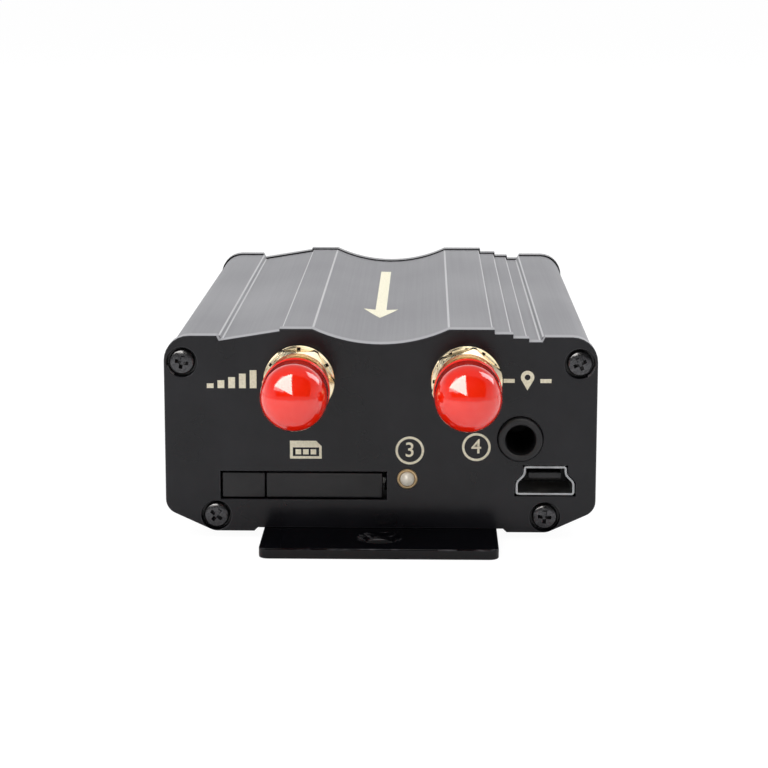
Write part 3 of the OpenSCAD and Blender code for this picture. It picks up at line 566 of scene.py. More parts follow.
# %% [markdown]
# Gold plating over turned brass is bright and a little uneven in roughness. Tinned steel is
# whiter. Both take their fine marks from stretched noise, because turned and stamped metal
# shows lines rather than spots.

# %% Bare metals
gold_finish = Finish("gold_plate", "gold", Metallic=1.0)
film = gold_finish.noise(0.8)
gold_finish.drift(film, (0.96, 0.79, 0.51), (1.0, 0.89, 0.67), film, 0.13, 0.14)
gold_finish.relief(gold_finish.noise((1.5, 14, 1.5), detail=2), 0.006)

dull_gold_finish = Finish("dull_gold", "gold", Metallic=1.0)
film = dull_gold_finish.noise(2)
dull_gold_finish.drift(film, (0.42, 0.3, 0.16), (0.6, 0.45, 0.27), film, 0.3, 0.15)

tin_finish = Finish("tinned_steel", "tin", Metallic=1.0)
film = tin_finish.noise(0.7, detail=4)
tin_finish.drift(film, (0.3, 0.31, 0.32), (0.46, 0.47, 0.48), film, 0.26, 0.2)
tin_finish.relief(tin_finish.noise((10, 0.5, 10), detail=2), 0.004)
print("metals made")

# %% [markdown]
# The dust caps are soft red plastic with a high gloss. One layer would have to be either sharp
# or soft, so a thin coat gives the sharp reflections and a slightly uneven base under it the
# depth of the red.
# The black, white and wire plastics are matter: a fine grain in roughness and bump does for
# them, and the black has a slow drift of tone as well.

# %% Plastics
cap_finish = Finish("cap_gloss_red", "cap_red", IOR=1.55, Coat_Weight=1.0, Coat_IOR=1.5,
                    Coat_Roughness=0.03)
swirl = cap_finish.noise(0.25, detail=2)
skin = cap_finish.noise(2.2, detail=1)
cap_finish.drift(swirl, (0.93, 0.012, 0.002), (1.0, 0.024, 0.004), skin, 0.09, 0.05)
cap_finish.relief(skin, 0.004)

mould_finish = Finish("moulded_black", "mould_black", IOR=1.45)
tide = mould_finish.noise(0.2, detail=2)
pits = mould_finish.noise(6)
mould_finish.drift(tide, (0.009, 0.009, 0.011), (0.018, 0.018, 0.02), pits, 0.34, 0.18)
mould_finish.relief(pits, 0.012)

white_finish = Finish("moulded_white", "white_plastic", IOR=1.45)
pits = white_finish.noise(5, detail=2)
white_finish.drift(pits, (0.78, 0.77, 0.73), (0.86, 0.86, 0.83), pits, 0.35, 0.15)
white_finish.relief(pits, 0.006)

wire_finish = Finish("wire_jacket", "wire", IOR=1.45)
pits = wire_finish.noise(3, detail=2)
wire_finish.drift(pits, (0.012, 0.012, 0.013), (0.022, 0.022, 0.024), pits, 0.4, 0.15)
wire_finish.relief(pits, 0.01)
print("plastics made")

# %% [markdown]
# The status light is a milky lens that glows a little. A lamp inside it would take long to
# render for so faint a glow, so the lens has a weak emission instead. The print on the plate is
# thick cream ink, slightly patchy.

# %% Light and ink
lens_finish = Finish("lens_milk", "led_lens", IOR=1.5, Emission_Strength=0.12)
bubble = lens_finish.noise(2, detail=2)
lens_finish.drift(bubble, (0.62, 0.57, 0.47), (0.72, 0.68, 0.58), bubble, 0.12, 0.1)
lens_finish.feed(Emission_Color=lens_finish.mix(bubble.between(0.3, 0.7), (1.0, 0.93, 0.78),
                                                (1.0, 0.98, 0.9)))

ink_finish = Finish("cream_ink", "white_plastic", IOR=1.4)
patch = ink_finish.noise(4)
ink_finish.drift(patch, (0.78, 0.74, 0.56), (0.92, 0.88, 0.7), patch, 0.45, 0.2, (0.35, 0.65))
ink_finish.relief(patch, 0.01)
print("light and ink made")

# %% [markdown]
# ## Case
# The case is one extruded profile, with its ridges on top and its rails and screw bosses
# inside. It could be modelled again, but the CAD copy has all of that already, and only its
# outer long edges need a bevel. Hiding its two end faces cuts the skin loose from the cavity,
# so those edges can be found on their own.

# %% Case
RIDGE_Z = 25.5
case = recast("housing_extrusion", "case_profile")
pick("faces", lambda f: abs(f.normal.y) > 0.99)
bpy.ops.mesh.hide(unselected=False)
pick("faces", lambda f: middle(f).z > RIDGE_Z and f.normal.z > 0.99)
bpy.ops.mesh.select_linked()
bpy.ops.mesh.hide(unselected=True)
count = pick("edges", lambda e: span(e, "y") > 70 and e.is_manifold
             and e.calc_face_angle(0) > math.radians(14))
bevel(0.14)
# The bevel faces are marked, and the case finish paints them lighter as a painted highlight.
mark(case, "edge", lambda face: face.select and not face.hide)
edit_mode()
bpy.ops.mesh.reveal()
print("long edges bevelled:", count)
settle(case, case_finish, "case", "housing_extrusion")

# %% [markdown]
# ## End plates
# The plates are punched and then painted. Only the rim of the CAD plate is kept, because its
# outline is already right. Its two ends are closed again and the outer edge is rounded. A bevel
# round a cut opening often tangles, so the openings are cut with cutters whose mouths flare,
# and each opening gets a small clean bevel that catches the light.

# %% Blank of a plate, and openings with a flared mouth
FLARE = 0.13
PLATE_T = 2.0
THROUGH = 3.0


def plate_blank(node, name, face, back):
    """The outline of a plate, closed, with a rounded outer edge at y = face."""
    plate = recast(node, name)
    far_x = corners(node)[1].x
    pick("faces", lambda f: abs(f.normal.y) > 0.9)
    bpy.ops.mesh.delete(type="FACE")
    pick("verts", lambda v: v.co.x > far_x - 0.01)
    bpy.ops.mesh.select_linked()
    bpy.ops.mesh.select_all(action="INVERT")
    bpy.ops.mesh.delete(type="VERT")
    for y in (back, face):
        pick("edges", lambda e: all(abs(v.co.y - y) < 0.01 for v in e.verts))
        bpy.ops.mesh.edge_face_add()
    pick("edges", lambda e: all(abs(v.co.y - face) < 0.01 for v in e.verts))
    bevel(0.15)
    close_up()
    return plate


def round_hole(piece, x, z, radius, face, way, deep=THROUGH):
    """Cuts a round hole. way is 1 when the face looks to -Y and -1 when it looks to +Y."""
    profile = [(0, -deep), (radius, -deep), (radius, -FLARE), (radius + 2 * FLARE, FLARE),
               (0, FLARE)]
    carve(piece, turned("hole", [(r, d * way) for r, d in profile], (x, face, z), 56))


def rectangle(x0, x1, z0, z1):
    """Outline of a rectangle."""
    return [(x0, z0), (x1, z0), (x1, z1), (x0, z1)]


def flared_hole(piece, outline, face, way):
    """Cuts a hole with straight sides, from its outline of (x, z)."""
    cutter = slab("slot", outline, face + way * FLARE, face + way * THROUGH)
    xs, zs = [x for x, z in outline], [z for x, z in outline]
    middle_x, middle_z = (min(xs) + max(xs)) / 2, (min(zs) + max(zs)) / 2
    wide, tall = max(xs) - min(xs), max(zs) - min(zs)
    edit_mode()
    pick("faces", lambda f: abs(middle(f).y - face - way * FLARE) < 0.001)
    push((0, -2 * way * FLARE, 0))
    bpy.ops.transform.resize(value=((wide + 4 * FLARE) / wide, 1, (tall + 4 * FLARE) / tall),
                             center_override=(middle_x, face, middle_z))
    close_up()
    carve(piece, cutter)


# %% [markdown]
# The screws sit in round seats in the corners of both plates. Their places come from the corner
# points of the screw node: the upper pair is further out than the lower pair. The jacks, light,
# audio jack, USB opening, harness inlet and switch knob give the places of their own holes.

# %% Places of the screws and of what passes through the plates
HEAD_R, SEAT_R, SEAT_DEEP, SHANK_R = 1.6, 1.9, 1.3, 1.0
LOWER_PAIR_IN = 4.15
screw_low, screw_high = corners("front_screws")
upper_x, upper_z = screw_high.x - HEAD_R, screw_high.z - HEAD_R
lower_x, lower_z = upper_x - LOWER_PAIR_IN, screw_low.z + HEAD_R
screw_places = [(-upper_x, upper_z), (upper_x, upper_z), (-lower_x, lower_z), (lower_x, lower_z)]
SIDES = ("left", "right")
JACK_X = {side: centre(f"{side}_antenna_jack")[0] for side in SIDES}
JACK_Z = centre("left_antenna_jack")[2]
led_x, _, led_z = centre("status_led")
audio_x, audio_z = centre("audio_jack")[0], 12.95
usb_x, _, usb_z = centre("usb_shell")
header_x, _, header_z = centre("harness_header")
header_low, header_high = corners("harness_header")
knob_x, _, knob_z = centre("power_switch_knob")
knob_low, knob_high = corners("power_switch_knob")
print("screws", [(round(x, 2), round(z, 2)) for x, z in screw_places])


def usb_outline(wide=1.0, tall=1.0):
    """Outline of the USB shell, made wider and taller by these factors."""
    half = [(3.7, -1.85), (3.7, -0.185), (2.7, 0.814), (2.7, 1.85)]
    return [(usb_x + wide * x, usb_z + tall * z)
            for x, z in [(-3.7, -1.85), *half, *[(-x, z) for x, z in half[:0:-1]]]]


# %% [markdown]
# The front plate gets its screw seats and the holes for the jacks, light, audio nose, card
# slot and USB shell. The rear plate gets its seats, the harness inlet and a slot for the knob.
# One cut for each is slower than one joined cutter, but safer where two cutters come close.

# %% End plates
CARD_SLOT = rectangle(-20.2, 0.8, 5.0, 8.6)
INLET_GAP = 0.05
KNOB_SLOT_HALF, KNOB_TRAVEL, KNOB_SLOT_Z = 1.0, 2.0, 0.9
front_plate = plate_blank("front_plate", "front_plate_dressed", front_y, front_y + PLATE_T)
rear_plate = plate_blank("rear_plate", "rear_plate_dressed", rear_y, rear_y - PLATE_T)
for x, z in screw_places:
    for plate, face, way in ((front_plate, front_y, 1), (rear_plate, rear_y, -1)):
        round_hole(plate, x, z, SEAT_R, face, way, SEAT_DEEP)
        carve(plate, rod("shank_hole", x, z, SHANK_R + 0.2, face - THROUGH, face + THROUGH))
for x, z, radius in ((JACK_X["left"], JACK_Z, 3.23), (JACK_X["right"], JACK_Z, 3.23),
                     (led_x, led_z, 1.1), (audio_x, audio_z, 2.85)):
    round_hole(front_plate, x, z, radius, front_y, 1)
flared_hole(front_plate, CARD_SLOT, front_y, 1)
flared_hole(front_plate, usb_outline(1.035, 1.065), front_y, 1)
flared_hole(rear_plate, rectangle(header_low.x - INLET_GAP, header_high.x + INLET_GAP,
                                  header_low.z - INLET_GAP, header_high.z + INLET_GAP), rear_y, -1)
flared_hole(rear_plate, rectangle(knob_x - KNOB_SLOT_HALF, knob_x + KNOB_SLOT_HALF + KNOB_TRAVEL,
                                  knob_z - KNOB_SLOT_Z, knob_z + KNOB_SLOT_Z), rear_y, -1)
# The upward faces of the front plate's rim, along its top and outer ends, are marked for a painted
# highlight.
HIGHLIGHT_RIM_Z = corners("front_plate")[1].z - 4.2
HIGHLIGHT_RIM_X = 26
mark(front_plate, "rim", lambda face: abs(face.normal.y) < 0.15 and face.normal.z > 0.2
     and (face.center.z > HIGHLIGHT_RIM_Z or abs(face.center.x) > HIGHLIGHT_RIM_X))
for plate, node in ((front_plate, "front_plate"), (rear_plate, "rear_plate")):
    mark(plate, "edge", lambda face: 0.15 < abs(face.normal.y) < 0.97)
    settle(plate, plate_finish, "case", node)

# %% [markdown]
# ## Mounting strap
# The tracker is screwed down by a flat steel strap with rounded corners and eased edges. The
# screw holes at its ends are countersunk from above, and the two smaller ones take the thin
# screws from below. A cube is enough, with its upright edges bevelled first and the flat ones
# after them, so that the second bevel runs round the corners.

# %% Mounting strap
END_HOLE_Y, THIN_SCREW_Y = 46.2, 25
THIN_SEAT_R, THIN_SEAT_H, THIN_HOLE_R = 2.2, 0.9, 1.1
strap_low, strap_high = corners("mounting_bracket")
strap = block("mounting_strap", strap_low, strap_high)
edit_mode()
pick("edges", lambda e: span(e, "z") > 1)
bevel(1.2, 6)
pick("edges", lambda e: span(e, "z") < 0.01)
bevel(0.16, 3)
countersink = [(0, -3), (1.9, -3), (1.9, -0.8), (2.9, 0), (3.1, 0.16), (0, 0.16)]
thin_seat = [(0, -1), (THIN_SEAT_R, -1), (THIN_SEAT_R, THIN_SEAT_H), (THIN_HOLE_R, THIN_SEAT_H),
             (THIN_HOLE_R, 3), (0, 3)]
for way in (-1, 1):
    carve(strap, turned("countersink", countersink, (0, way * END_HOLE_Y, strap_high.z), 56,
                        upright=True))
    carve(strap, turned("screw_seat", thin_seat, (0, way * THIN_SCREW_Y, strap_low.z), 40,
                        upright=True))
mark(strap, "edge", lambda face: 0.15 < abs(face.normal.z) < 0.97)
settle(strap, strap_finish, "case", "mounting_bracket")

# %% [markdown]
# ## Screws
# The four screws of each plate are the same pan head with a cross recess. One is turned and
# its recess cut by two tapered bars, and the rest are copies turned a little differently, as
# screws end up when they are driven. An array would leave all four recesses in line.

# %% Plate screws
RECESS_TURNS = (12, -24, 38, 5)
GROOVE_DEEP, HALF_PITCH, THREAD_STEPS = 0.14, 0.23, 28


def arc(place, radius, first, last, steps=6):
    """Points of an arc in a profile, in degrees."""
    return [(place[0] + radius * math.cos(math.radians(first + (last - first) * i / steps)),
             place[1] + radius * math.sin(math.radians(first + (last - first) * i / steps)))
            for i in range(steps + 1)]


def cross_bars(length, width, y0, y1):
    """The bit that presses a cross recess: two bars, narrower at their inner end."""
    bars = []
    for turn in (0, 90):
        bar = start(f"bit_{turn}", "cube", size=1, location=(0, (y0 + y1) / 2, 0),
                    scale=(length, y1 - y0, width))
        pick("faces", lambda f: f.normal.y > 0.9)
        bpy.ops.transform.resize(value=(0.45, 1, 0.7))
        take_all()
        bpy.ops.transform.rotate(value=math.radians(turn), orient_axis="Y",
                                 center_override=(0, 0, 0))
        bars.append(bar)
    carve(*bars, "UNION")
    return bars[0]


head = [(0, -0.08), (0.55, -0.1), (1.0, -0.17), *arc((1.18, -0.58), 0.42, 62, 0, 5),
        (HEAD_R, -1.3), (SHANK_R, -1.3)]
threads = [(SHANK_R - (GROOVE_DEEP if i % 2 else 0.0), -1.9 - HALF_PITCH * i)
           for i in range(THREAD_STEPS)]
point = [(SHANK_R - 0.3, -9.3), (0, -9.3)]
pan_head = turned("pan_head", head + threads + point, (0, 0, 0), 40)
carve(pan_head, cross_bars(2.2, 0.52, -0.4, 0.95))
for side, face, body_turn in (("front", front_y, 0), ("rear", rear_y, 180)):
    for i, ((x, z), turn) in enumerate(zip(screw_places, RECESS_TURNS), 1):
        screw = copied(pan_head, f"{side}_plate_screw_{i}")
        only(screw)
        screw.rotation_euler = (0, math.radians(turn), 0)
        bpy.ops.object.transform_apply()
        screw.rotation_euler = (0, 0, math.radians(body_turn))
        screw.location = (x, face, z)
        bpy.ops.object.transform_apply()
        settle(screw, screw_finish, "case", f"{side}_screws")
bpy.data.objects.remove(pan_head)

# %% [markdown]
# ## Antenna jacks
# Each jack is turned brass with a fine thread. Rings would pass from far away, but close up a
# thread has to climb. So one tooth of the profile is wound into a helix with the Screw
# modifier, both ends are cut flat with bisect, and the bore is cut through it.

# %% Threaded jacks
THREAD_R, THREAD_PITCH, THREAD_DEPTH, THREAD_TURNS = 3.175, 0.706, 0.38, 22
NOSE_Y = corners("left_antenna_jack")[0].y
FLANGE_Y = -39.5
THREAD_LEN = FLANGE_Y - NOSE_Y


def threaded_jack(side):
    """Helical thread, flange and barrel of one jack, with its bore."""
    x = JACK_X[side]
    tooth = [(0, 0), (0.2, 0), (0.42, -THREAD_DEPTH), (0.5, -THREAD_DEPTH), (THREAD_PITCH, 0)]
    thread = chain(f"{side}_jack_dressed", [(THREAD_R + deep, 0, along) for along, deep in tooth])
    modify(thread, "SCREW", axis="Z", angle=2 * math.pi, steps=40, render_steps=40,
           screw_offset=THREAD_PITCH, iterations=THREAD_TURNS, use_merge_vertices=True,
           merge_threshold=0.0004)
    thread.rotation_euler = (math.pi / 2, 0, 0)
    thread.location = (x, FLANGE_Y + THREAD_PITCH, JACK_Z)
    bpy.ops.object.transform_apply()
    edit_mode()
    for y, out in ((FLANGE_Y, True), (NOSE_Y, False)):
        bpy.ops.mesh.select_all(action="SELECT")
        bpy.ops.mesh.bisect(plane_co=(x, y, JACK_Z), plane_no=(0, 1, 0), use_fill=True,
                            clear_outer=out, clear_inner=not out)
    close_up()
    barrel = [(0, -5.9), (2.5, -5.9), (2.5, -2.4), (3.45, -2.4), (3.6, -2.25), (3.6, -0.1),
              (3.45, 0.01), (0, 0.01)]
    carve(thread, turned("barrel", barrel, (x, FLANGE_Y, JACK_Z), 48), "UNION")
    # the bore for the insulator, with a small chamfer that leaves a thin lip at the mouth
    bore = [(0, -6.5), (2.05, -6.5), (2.05, THREAD_LEN - 0.45), (2.35, THREAD_LEN - 0.1),
            (2.35, THREAD_LEN + 0.5), (0, THREAD_LEN + 0.5)]
    carve(thread, turned("bore", bore, (x, FLANGE_Y, JACK_Z), 48))
    settle(thread, gold_finish, "case", f"{side}_antenna_jack", angle=40)


for side in SIDES:
    threaded_jack(side)

# %% [markdown]
# ## Nuts and washers
# The nut is a six-sided cylinder. A plain bevel would not round its corners as a lathe does,
# so the nut keeps only what it shares with a chamfered disc. The washer under it has teeth
# inside an unbroken rim: six thin bars laid across it cut the slots between them.

# %% Nuts and washers
NUT_T, NUT_CORNER_R = 2.2, 4.6188
WASHER_T, WASHER_R, WASHER_RIM, WASHER_SLOT = 0.6, 4.5, 0.25, 0.45
NUT_TURN = {"left": 30, "right": 12}
washer_y = front_y - WASHER_T
nut_y = washer_y - NUT_T


def hex_nut(side):
    """Six-sided nut, chamfered on both faces and bored."""
    x = JACK_X[side]
    nut = start(f"{side}_nut_dressed", "cylinder", vertices=6, radius=NUT_CORNER_R, depth=NUT_T,
                location=(x, (washer_y + nut_y) / 2, JACK_Z),
                rotation=(math.pi / 2, math.radians(NUT_TURN[side]), 0))
    pick("edges", lambda e: span(e, "y") > 1)
    bevel(0.12)
    disc = [(0, 0), (4.15, 0), (4.5, 0.25), (4.5, NUT_T - 0.55), (3.9, NUT_T), (0, NUT_T)]
    carve(nut, turned("disc", disc, (x, washer_y, JACK_Z), 60), "INTERSECT")
    bore = [(0, -1), (3.5, -1), (3.5, 0), (3.225, 0.25), (3.225, NUT_T - 0.3),
            (3.6, NUT_T + 0.05), (3.6, NUT_T + 1), (0, NUT_T + 1)]
    carve(nut, turned("nut_bore", bore, (x, washer_y, JACK_Z), 48))
    settle(nut, gold_finish, "case", f"{side}_hex_nut", angle=28)


def lock_washer(side):
    """Flat ring with slots from its bore to just short of its rim."""
    place = (JACK_X[side], front_y, JACK_Z)
    ring = turned(f"{side}_washer_dressed", [
        (3.23, 0), (WASHER_R, 0), (WASHER_R, WASHER_T - 0.12), (WASHER_R - 0.12, WASHER_T),
        (3.35, WASHER_T), (3.23, WASHER_T - 0.12), (3.23, 0)], place, 120)
    for turn in range(0, 180, 30):
        bar = start("slot_bar", "cube", size=1, location=place,
                    scale=(2 * (WASHER_R - WASHER_RIM), 2, WASHER_SLOT),
                    rotation=(0, math.radians(turn), 0))
        carve(ring, bar)
    settle(ring, gold_finish, "case", f"{side}_lock_washer")


for side in SIDES:
    hex_nut(side)
    lock_washer(side)

# %% [markdown]
# ## Dust caps
# Soft caps are pushed over the threads to keep dust out. A cylinder with a rounded end would
# miss the rim that stops the light. So each cap is one turned outline, bore included: a bead
# round the rim, a groove behind it, a straight skirt and a domed end. The dome needs many short
# steps, because the gloss shows every facet.

# %% Dust caps
CAP_LEN, CAP_R, CAP_BORE = 8.0, 4.1, 3.255
DOME = 0.47 * CAP_LEN


def dome(radius, base, height, steps):
    """Points of a domed end in a profile, from its foot to just short of its tip."""
    return [(radius * math.cos(a), base + height * math.sin(a))
            for a in (math.pi / 2 * i / steps for i in range(steps))]


def dust_cap(side):
    """Red cap whose rim is at the CAD cap's rear end."""
    rim_y = corners(f"{side}_dust_cap")[1].y
    bead = [(CAP_BORE + 0.1, 0), (CAP_R - 0.12, 0), *arc((CAP_R - 0.15, 0.33), 0.25, -70, 60)]
    groove = [(CAP_R - 0.1, 0.68), (CAP_R - 0.12, 0.78), (CAP_R - 0.1, 0.94),
              (CAP_R - 0.02, 1.03), (CAP_R, 1.12)]
    bore = [(0, CAP_LEN), (0, CAP_LEN - 1.2), (1.6, CAP_LEN - 1.25), (CAP_BORE, CAP_LEN - 3.0),
            (CAP_BORE, 0.12), (CAP_BORE + 0.1, 0)]
    outline = bead + groove + dome(CAP_R, CAP_LEN - DOME, DOME, 24) + bore
    cap = turned(f"{side}_cap_dressed", outline, (JACK_X[side], rim_y, JACK_Z), 96)
    settle(cap, cap_finish, f"{side}_cap", f"{side}_dust_cap", angle=40)


for side in SIDES:
    dust_cap(side)

# %% [markdown]
# ## Card slot
# Two faces fill the slot: the narrow eject button on the left and the wide tray front. Both
# are blocks with eased edges. Two insets on the front face give the tray a panel that is sunk a
# little and the button a raised pad for a fingertip, with no cutting. Each carries its own
# blade or rod, because they slide on different bodies.

# %% Card tray and eject button
FACE_T, BLADE_Z, TRAY_END_GAP = 2.1, 5.8, 0.35
tray_low, tray_high = corners("sim_tray")
button_low, button_high = corners("sim_eject_button")


def face_block(name, low, high, step):
    """A slot face whose front panel steps out, or in when step is negative."""
    y = tray_low.y
    face = block(name, (low.x, y, low.z), (high.x, y + FACE_T, high.z), 0.14)
    edit_mode()
    pick("faces", lambda f: f.normal.y < -0.99)
    bpy.ops.mesh.inset(thickness=0.3, depth=0)
    bpy.ops.mesh.inset(thickness=0.12, depth=step)
    object_mode()
    return face


tray_front = face_block("sim_tray_dressed", tray_low, tray_high - Vector((TRAY_END_GAP, 0, 0)),
                        -0.04)
blade = block("tray_blade", (tray_low.x, tray_low.y + FACE_T - 0.3, BLADE_Z),
              (tray_high.x, tray_high.y, BLADE_Z + 0.8), 0.1)
lip = block("tray_lip", (tray_low.x, tray_high.y - 0.6, BLADE_Z + 0.1),
            (tray_high.x, tray_high.y, BLADE_Z + 1.6), 0.08)
settle(joined([tray_front, blade, lip]), mould_finish, "card_tray", "sim_tray")

ROD_HALF_W, TIP_HALF_W = 1.2, 0.4
rod_x = centre("sim_eject_button")[0]
button_face = face_block("sim_button_dressed", button_low, button_high, 0.06)
push_rod = block("push_rod", (rod_x - ROD_HALF_W, button_low.y + 0.4, BLADE_Z),
                 (rod_x + ROD_HALF_W, button_high.y - 1.6, BLADE_Z + 2), 0.1)
push_tip = block("push_tip", (rod_x - TIP_HALF_W, button_high.y - 2.4, BLADE_Z + 0.05),
                 (rod_x + TIP_HALF_W, button_high.y, BLADE_Z + 1.95), 0.1)
settle(joined([button_face, push_rod, push_tip]), mould_finish, "eject_button",
       "sim_eject_button")

# %% [markdown]
# ## Status light
# A domed lens sits in a plated ring that stands a little proud of the plate. A sphere would
# need cutting to length, so both are turned from outlines.

# %% Status light
LENS_R, LENS_FOOT = 0.9, 0.12
led_end = front_y - corners("status_led")[0].y
lens = turned("status_lens", [
    (0, -5), (LENS_R, -5), (LENS_R, 0.1), *dome(LENS_R, LENS_FOOT, led_end - LENS_FOOT, 10),
    (0, led_end)], (led_x, front_y, led_z), 40)
settle(lens, lens_finish, "case", "status_led")
bezel = turned("status_ring", [
    (0.93, -2), (1.08, -2), (1.08, 0), (1.3, 0), (1.3, 0.1), *arc((1.1, 0.1), 0.2, 0, 90, 5),
    *arc((1.08, 0.16), 0.14, 100, 170, 4), (0.93, 0.05), (0.93, -2)],
    (led_x, front_y, led_z), 48)
settle(bezel, dull_gold_finish, "case", "led_bezel", angle=40)

# %% [markdown]
# ## Audio jack
# The jack's housing is a block on the board, and its nose fills a round hole in the plate. The
# nose is turned, with a rounded lip, and united with the block, and one long cutter makes the
# deep dark bore through both.

# %% Audio jack
AUDIO_BODY_Y = -39.45
audio_low, audio_high = corners("audio_jack")
audio_place = (audio_x, front_y, audio_z)
audio = block("audio_body_dressed", (audio_low.x, AUDIO_BODY_Y, audio_low.z), audio_high, 0.2)
nose = [(0, -3), (2.8, -3), (2.8, 0.5), *arc((2.5, 0.5), 0.3, 0, 90, 5),
        *arc((2.2, 0.48), 0.32, 90, 170, 5), (1.88, 0.3), (0, 0.3)]
carve(audio, turned("audio_nose", nose, audio_place), "UNION")
bore = [(0, -13.2), (1.8, -13.2), (1.8, 0.1), (1.95, 0.4), (2.0, 1.5), (0, 1.5)]
carve(audio, turned("audio_bore", bore, audio_place))
settle(audio, mould_finish, "case", "audio_jack", angle=40)

# %% [markdown]
# ## USB opening
# The shell is one folded strip of thin sheet with rounded corners, so it is drawn as a closed
# outline, extruded, bevelled along its folds and given its thickness with Solidify. Inside, a
# tongue carries five gold contacts.

# %% USB shell
shell_low, shell_high = corners("usb_shell")
outline = usb_outline()
shell = chain("usb_shell_dressed", [(x, shell_low.y, z) for x, z in outline + outline[:1]])
take_all()
bpy.ops.mesh.remove_doubles(threshold=0.001)
push((0, shell_high.y - shell_low.y, 0))
pick("edges", lambda e: span(e, "y") > 1)
bevel(0.35, 4)
close_up()
modify(shell, "SOLIDIFY", thickness=0.25, offset=-1, use_even_offset=True)
settle(shell, tin_finish, "case", "usb_shell")

# %% [markdown]
# The tongue and the wall behind it are one moulding. The contacts are thin strips let into its
# lower side.

# %% USB tongue and contacts
CONTACT_PITCH, CONTACT_W = 0.62, 0.36
tongue_low, tongue_high = corners("usb_tongue")
tongue = block("usb_tongue_dressed", (usb_x - 2.1, tongue_low.y, usb_z),
               (usb_x + 2.1, tongue_high.y - 1.9, usb_z + 0.8), 0.12)
back_wall = slab("usb_floor", usb_outline(0.93, 0.86), tongue_high.y - 2, tongue_high.y)
settle(joined([tongue, back_wall]), mould_finish, "case", "usb_tongue")
strips = []
for i in range(5):
    x = usb_x - 1.42 + CONTACT_PITCH * i
    strips.append(block(f"usb_strip_{i}", (x, tongue_low.y + 0.3, usb_z - 0.06),
                        (x + CONTACT_W, tongue_high.y - 2, usb_z + 0.02), 0.02, 1))
settle(joined(strips), gold_finish, "case")

# %% [markdown]
# ## Harness inlet
# The header on the rear is a deep box with a key slot. It is cut from a block. Its twelve pins
# stand in two rows, each with a leg down to the board. Their tips are pushed back and inset
# forwards again, which leaves a small taper, as on a stamped pin.

# %% Harness header and pins
PIN_PITCH, PIN_HALF, SOCKET_DEEP = 3.4, 0.35, 10.6
pins_low, pins_high = corners("harness_pins")
header = block("harness_header_dressed", header_low, header_high, 0.25)
carve(header, block("socket_cut", (header_low.x + 1, header_high.y - SOCKET_DEEP, header_low.z + 1),
                    (header_high.x - 1, header_high.y + 1, header_high.z - 1), 0.3))
carve(header, block("key_cut", (header_x - 1.5, header_high.y - SOCKET_DEEP, header_high.z - 1.5),
                    (header_x + 1.5, header_high.y + 1, header_high.z - 0.5)))
row_gap = pins_high.z - PIN_HALF - header_z
pins = []
for row in (-1, 1):
    z = header_z + row * row_gap
    foot_y = pins_low.y + (0 if row > 0 else 1.4)
    for i in range(6):
        x = header_x + (i - 2.5) * PIN_PITCH
        pins.append(block(f"pin_{row}_{i}", (x - PIN_HALF, foot_y, z - PIN_HALF),
                          (x + PIN_HALF, pins_high.y, z + PIN_HALF)))
        edit_mode()
        pick("faces", lambda f: f.normal.y > 0.9)
        bpy.ops.transform.translate(value=(0, -0.3, 0))
        bpy.ops.mesh.inset(thickness=0.14, depth=0.29)
        pins.append(block(f"leg_{row}_{i}", (x - PIN_HALF, foot_y, pins_low.z),
                          (x + PIN_HALF, foot_y + 2 * PIN_HALF, z + 0.3)))
pin_bank = joined(pins, "harness_pins_dressed")
carve(header, copied(pin_bank, "pin_cut"))
settle(header, mould_finish, "case", "harness_header")
settle(pin_bank, tin_finish, "case", "harness_pins")

# %% [markdown]
# ## Rear switch
# Only the knob of the slide switch shows. Three ridges across it give a fingernail some grip.
# They are small blocks set on its stem, which is quicker to change than grooves cut into it.

# %% Switch knob
RIDGE_PITCH = 0.6
sled = block("knob_dressed", knob_low, (knob_high.x, knob_low.y + 1.4, knob_high.z), 0.1)
stem = block("knob_stem", (knob_x - 0.9, knob_low.y + 1, knob_z - 0.8),
             (knob_x + 0.9, knob_high.y - 0.25, knob_z + 0.8), 0.1)
ridges = [block(f"ridge_{i}",
                (knob_x - 0.75 + RIDGE_PITCH * i, knob_high.y - 0.5, knob_z - 0.75),
                (knob_x - 0.45 + RIDGE_PITCH * i, knob_high.y, knob_z + 0.75), 0.08)
          for i in range(3)]
settle(joined([sled, stem, *ridges]), mould_finish, "switch_knob", "power_switch_knob")

# %% [markdown]
# ## Print on the plate
# Each mark is a thin raised print of ink. An image would do it in one material, but a mesh
# stays sharp. Next to the two jacks are a row of signal bars and a position pin, over the card
# slot is a small card, and two plain circled numbers name the ports.

# %% Ink
INK = 0.03
SIZE_FOR_HEIGHT = 1.38


def ink_plate(name, outline):
    """A flat inked shape on the front plate, from an outline of (x, z)."""
    return slab(name, outline, front_y - INK, front_y + 0.01)


def ink_ring(name, x, z, outer, inner):
    """A printed ring."""
    profile = [(inner, 0), (outer, 0), (outer, INK), (inner, INK), (inner, 0)]
    return turned(name, profile, (x, front_y, z), 48)


def numeral(name, text, x, z, height):
    """A plain number in Blender's own font, made a mesh and laid on the plate."""
    clear()
    bpy.ops.object.text_add()
    letter = bpy.context.object
    letter.data.body = text
    letter.data.size = height * SIZE_FOR_HEIGHT
    letter.data.align_x = letter.data.align_y = "CENTER"
    letter.data.extrude = INK / 2
    letter.data.offset = 0.02
    bpy.ops.object.convert(target="MESH")
    letter = bpy.context.object
    letter.name = letter.data.name = name
    letter.rotation_euler = (math.pi / 2, 0, 0)
    letter.location = (x, front_y - INK / 2, z)
    bpy.ops.object.transform_apply()
    return letter


# %% [markdown]
# The bars are rectangles that grow from left to right. The pin is a drop with a round hole in
# it and a short dash on each side.

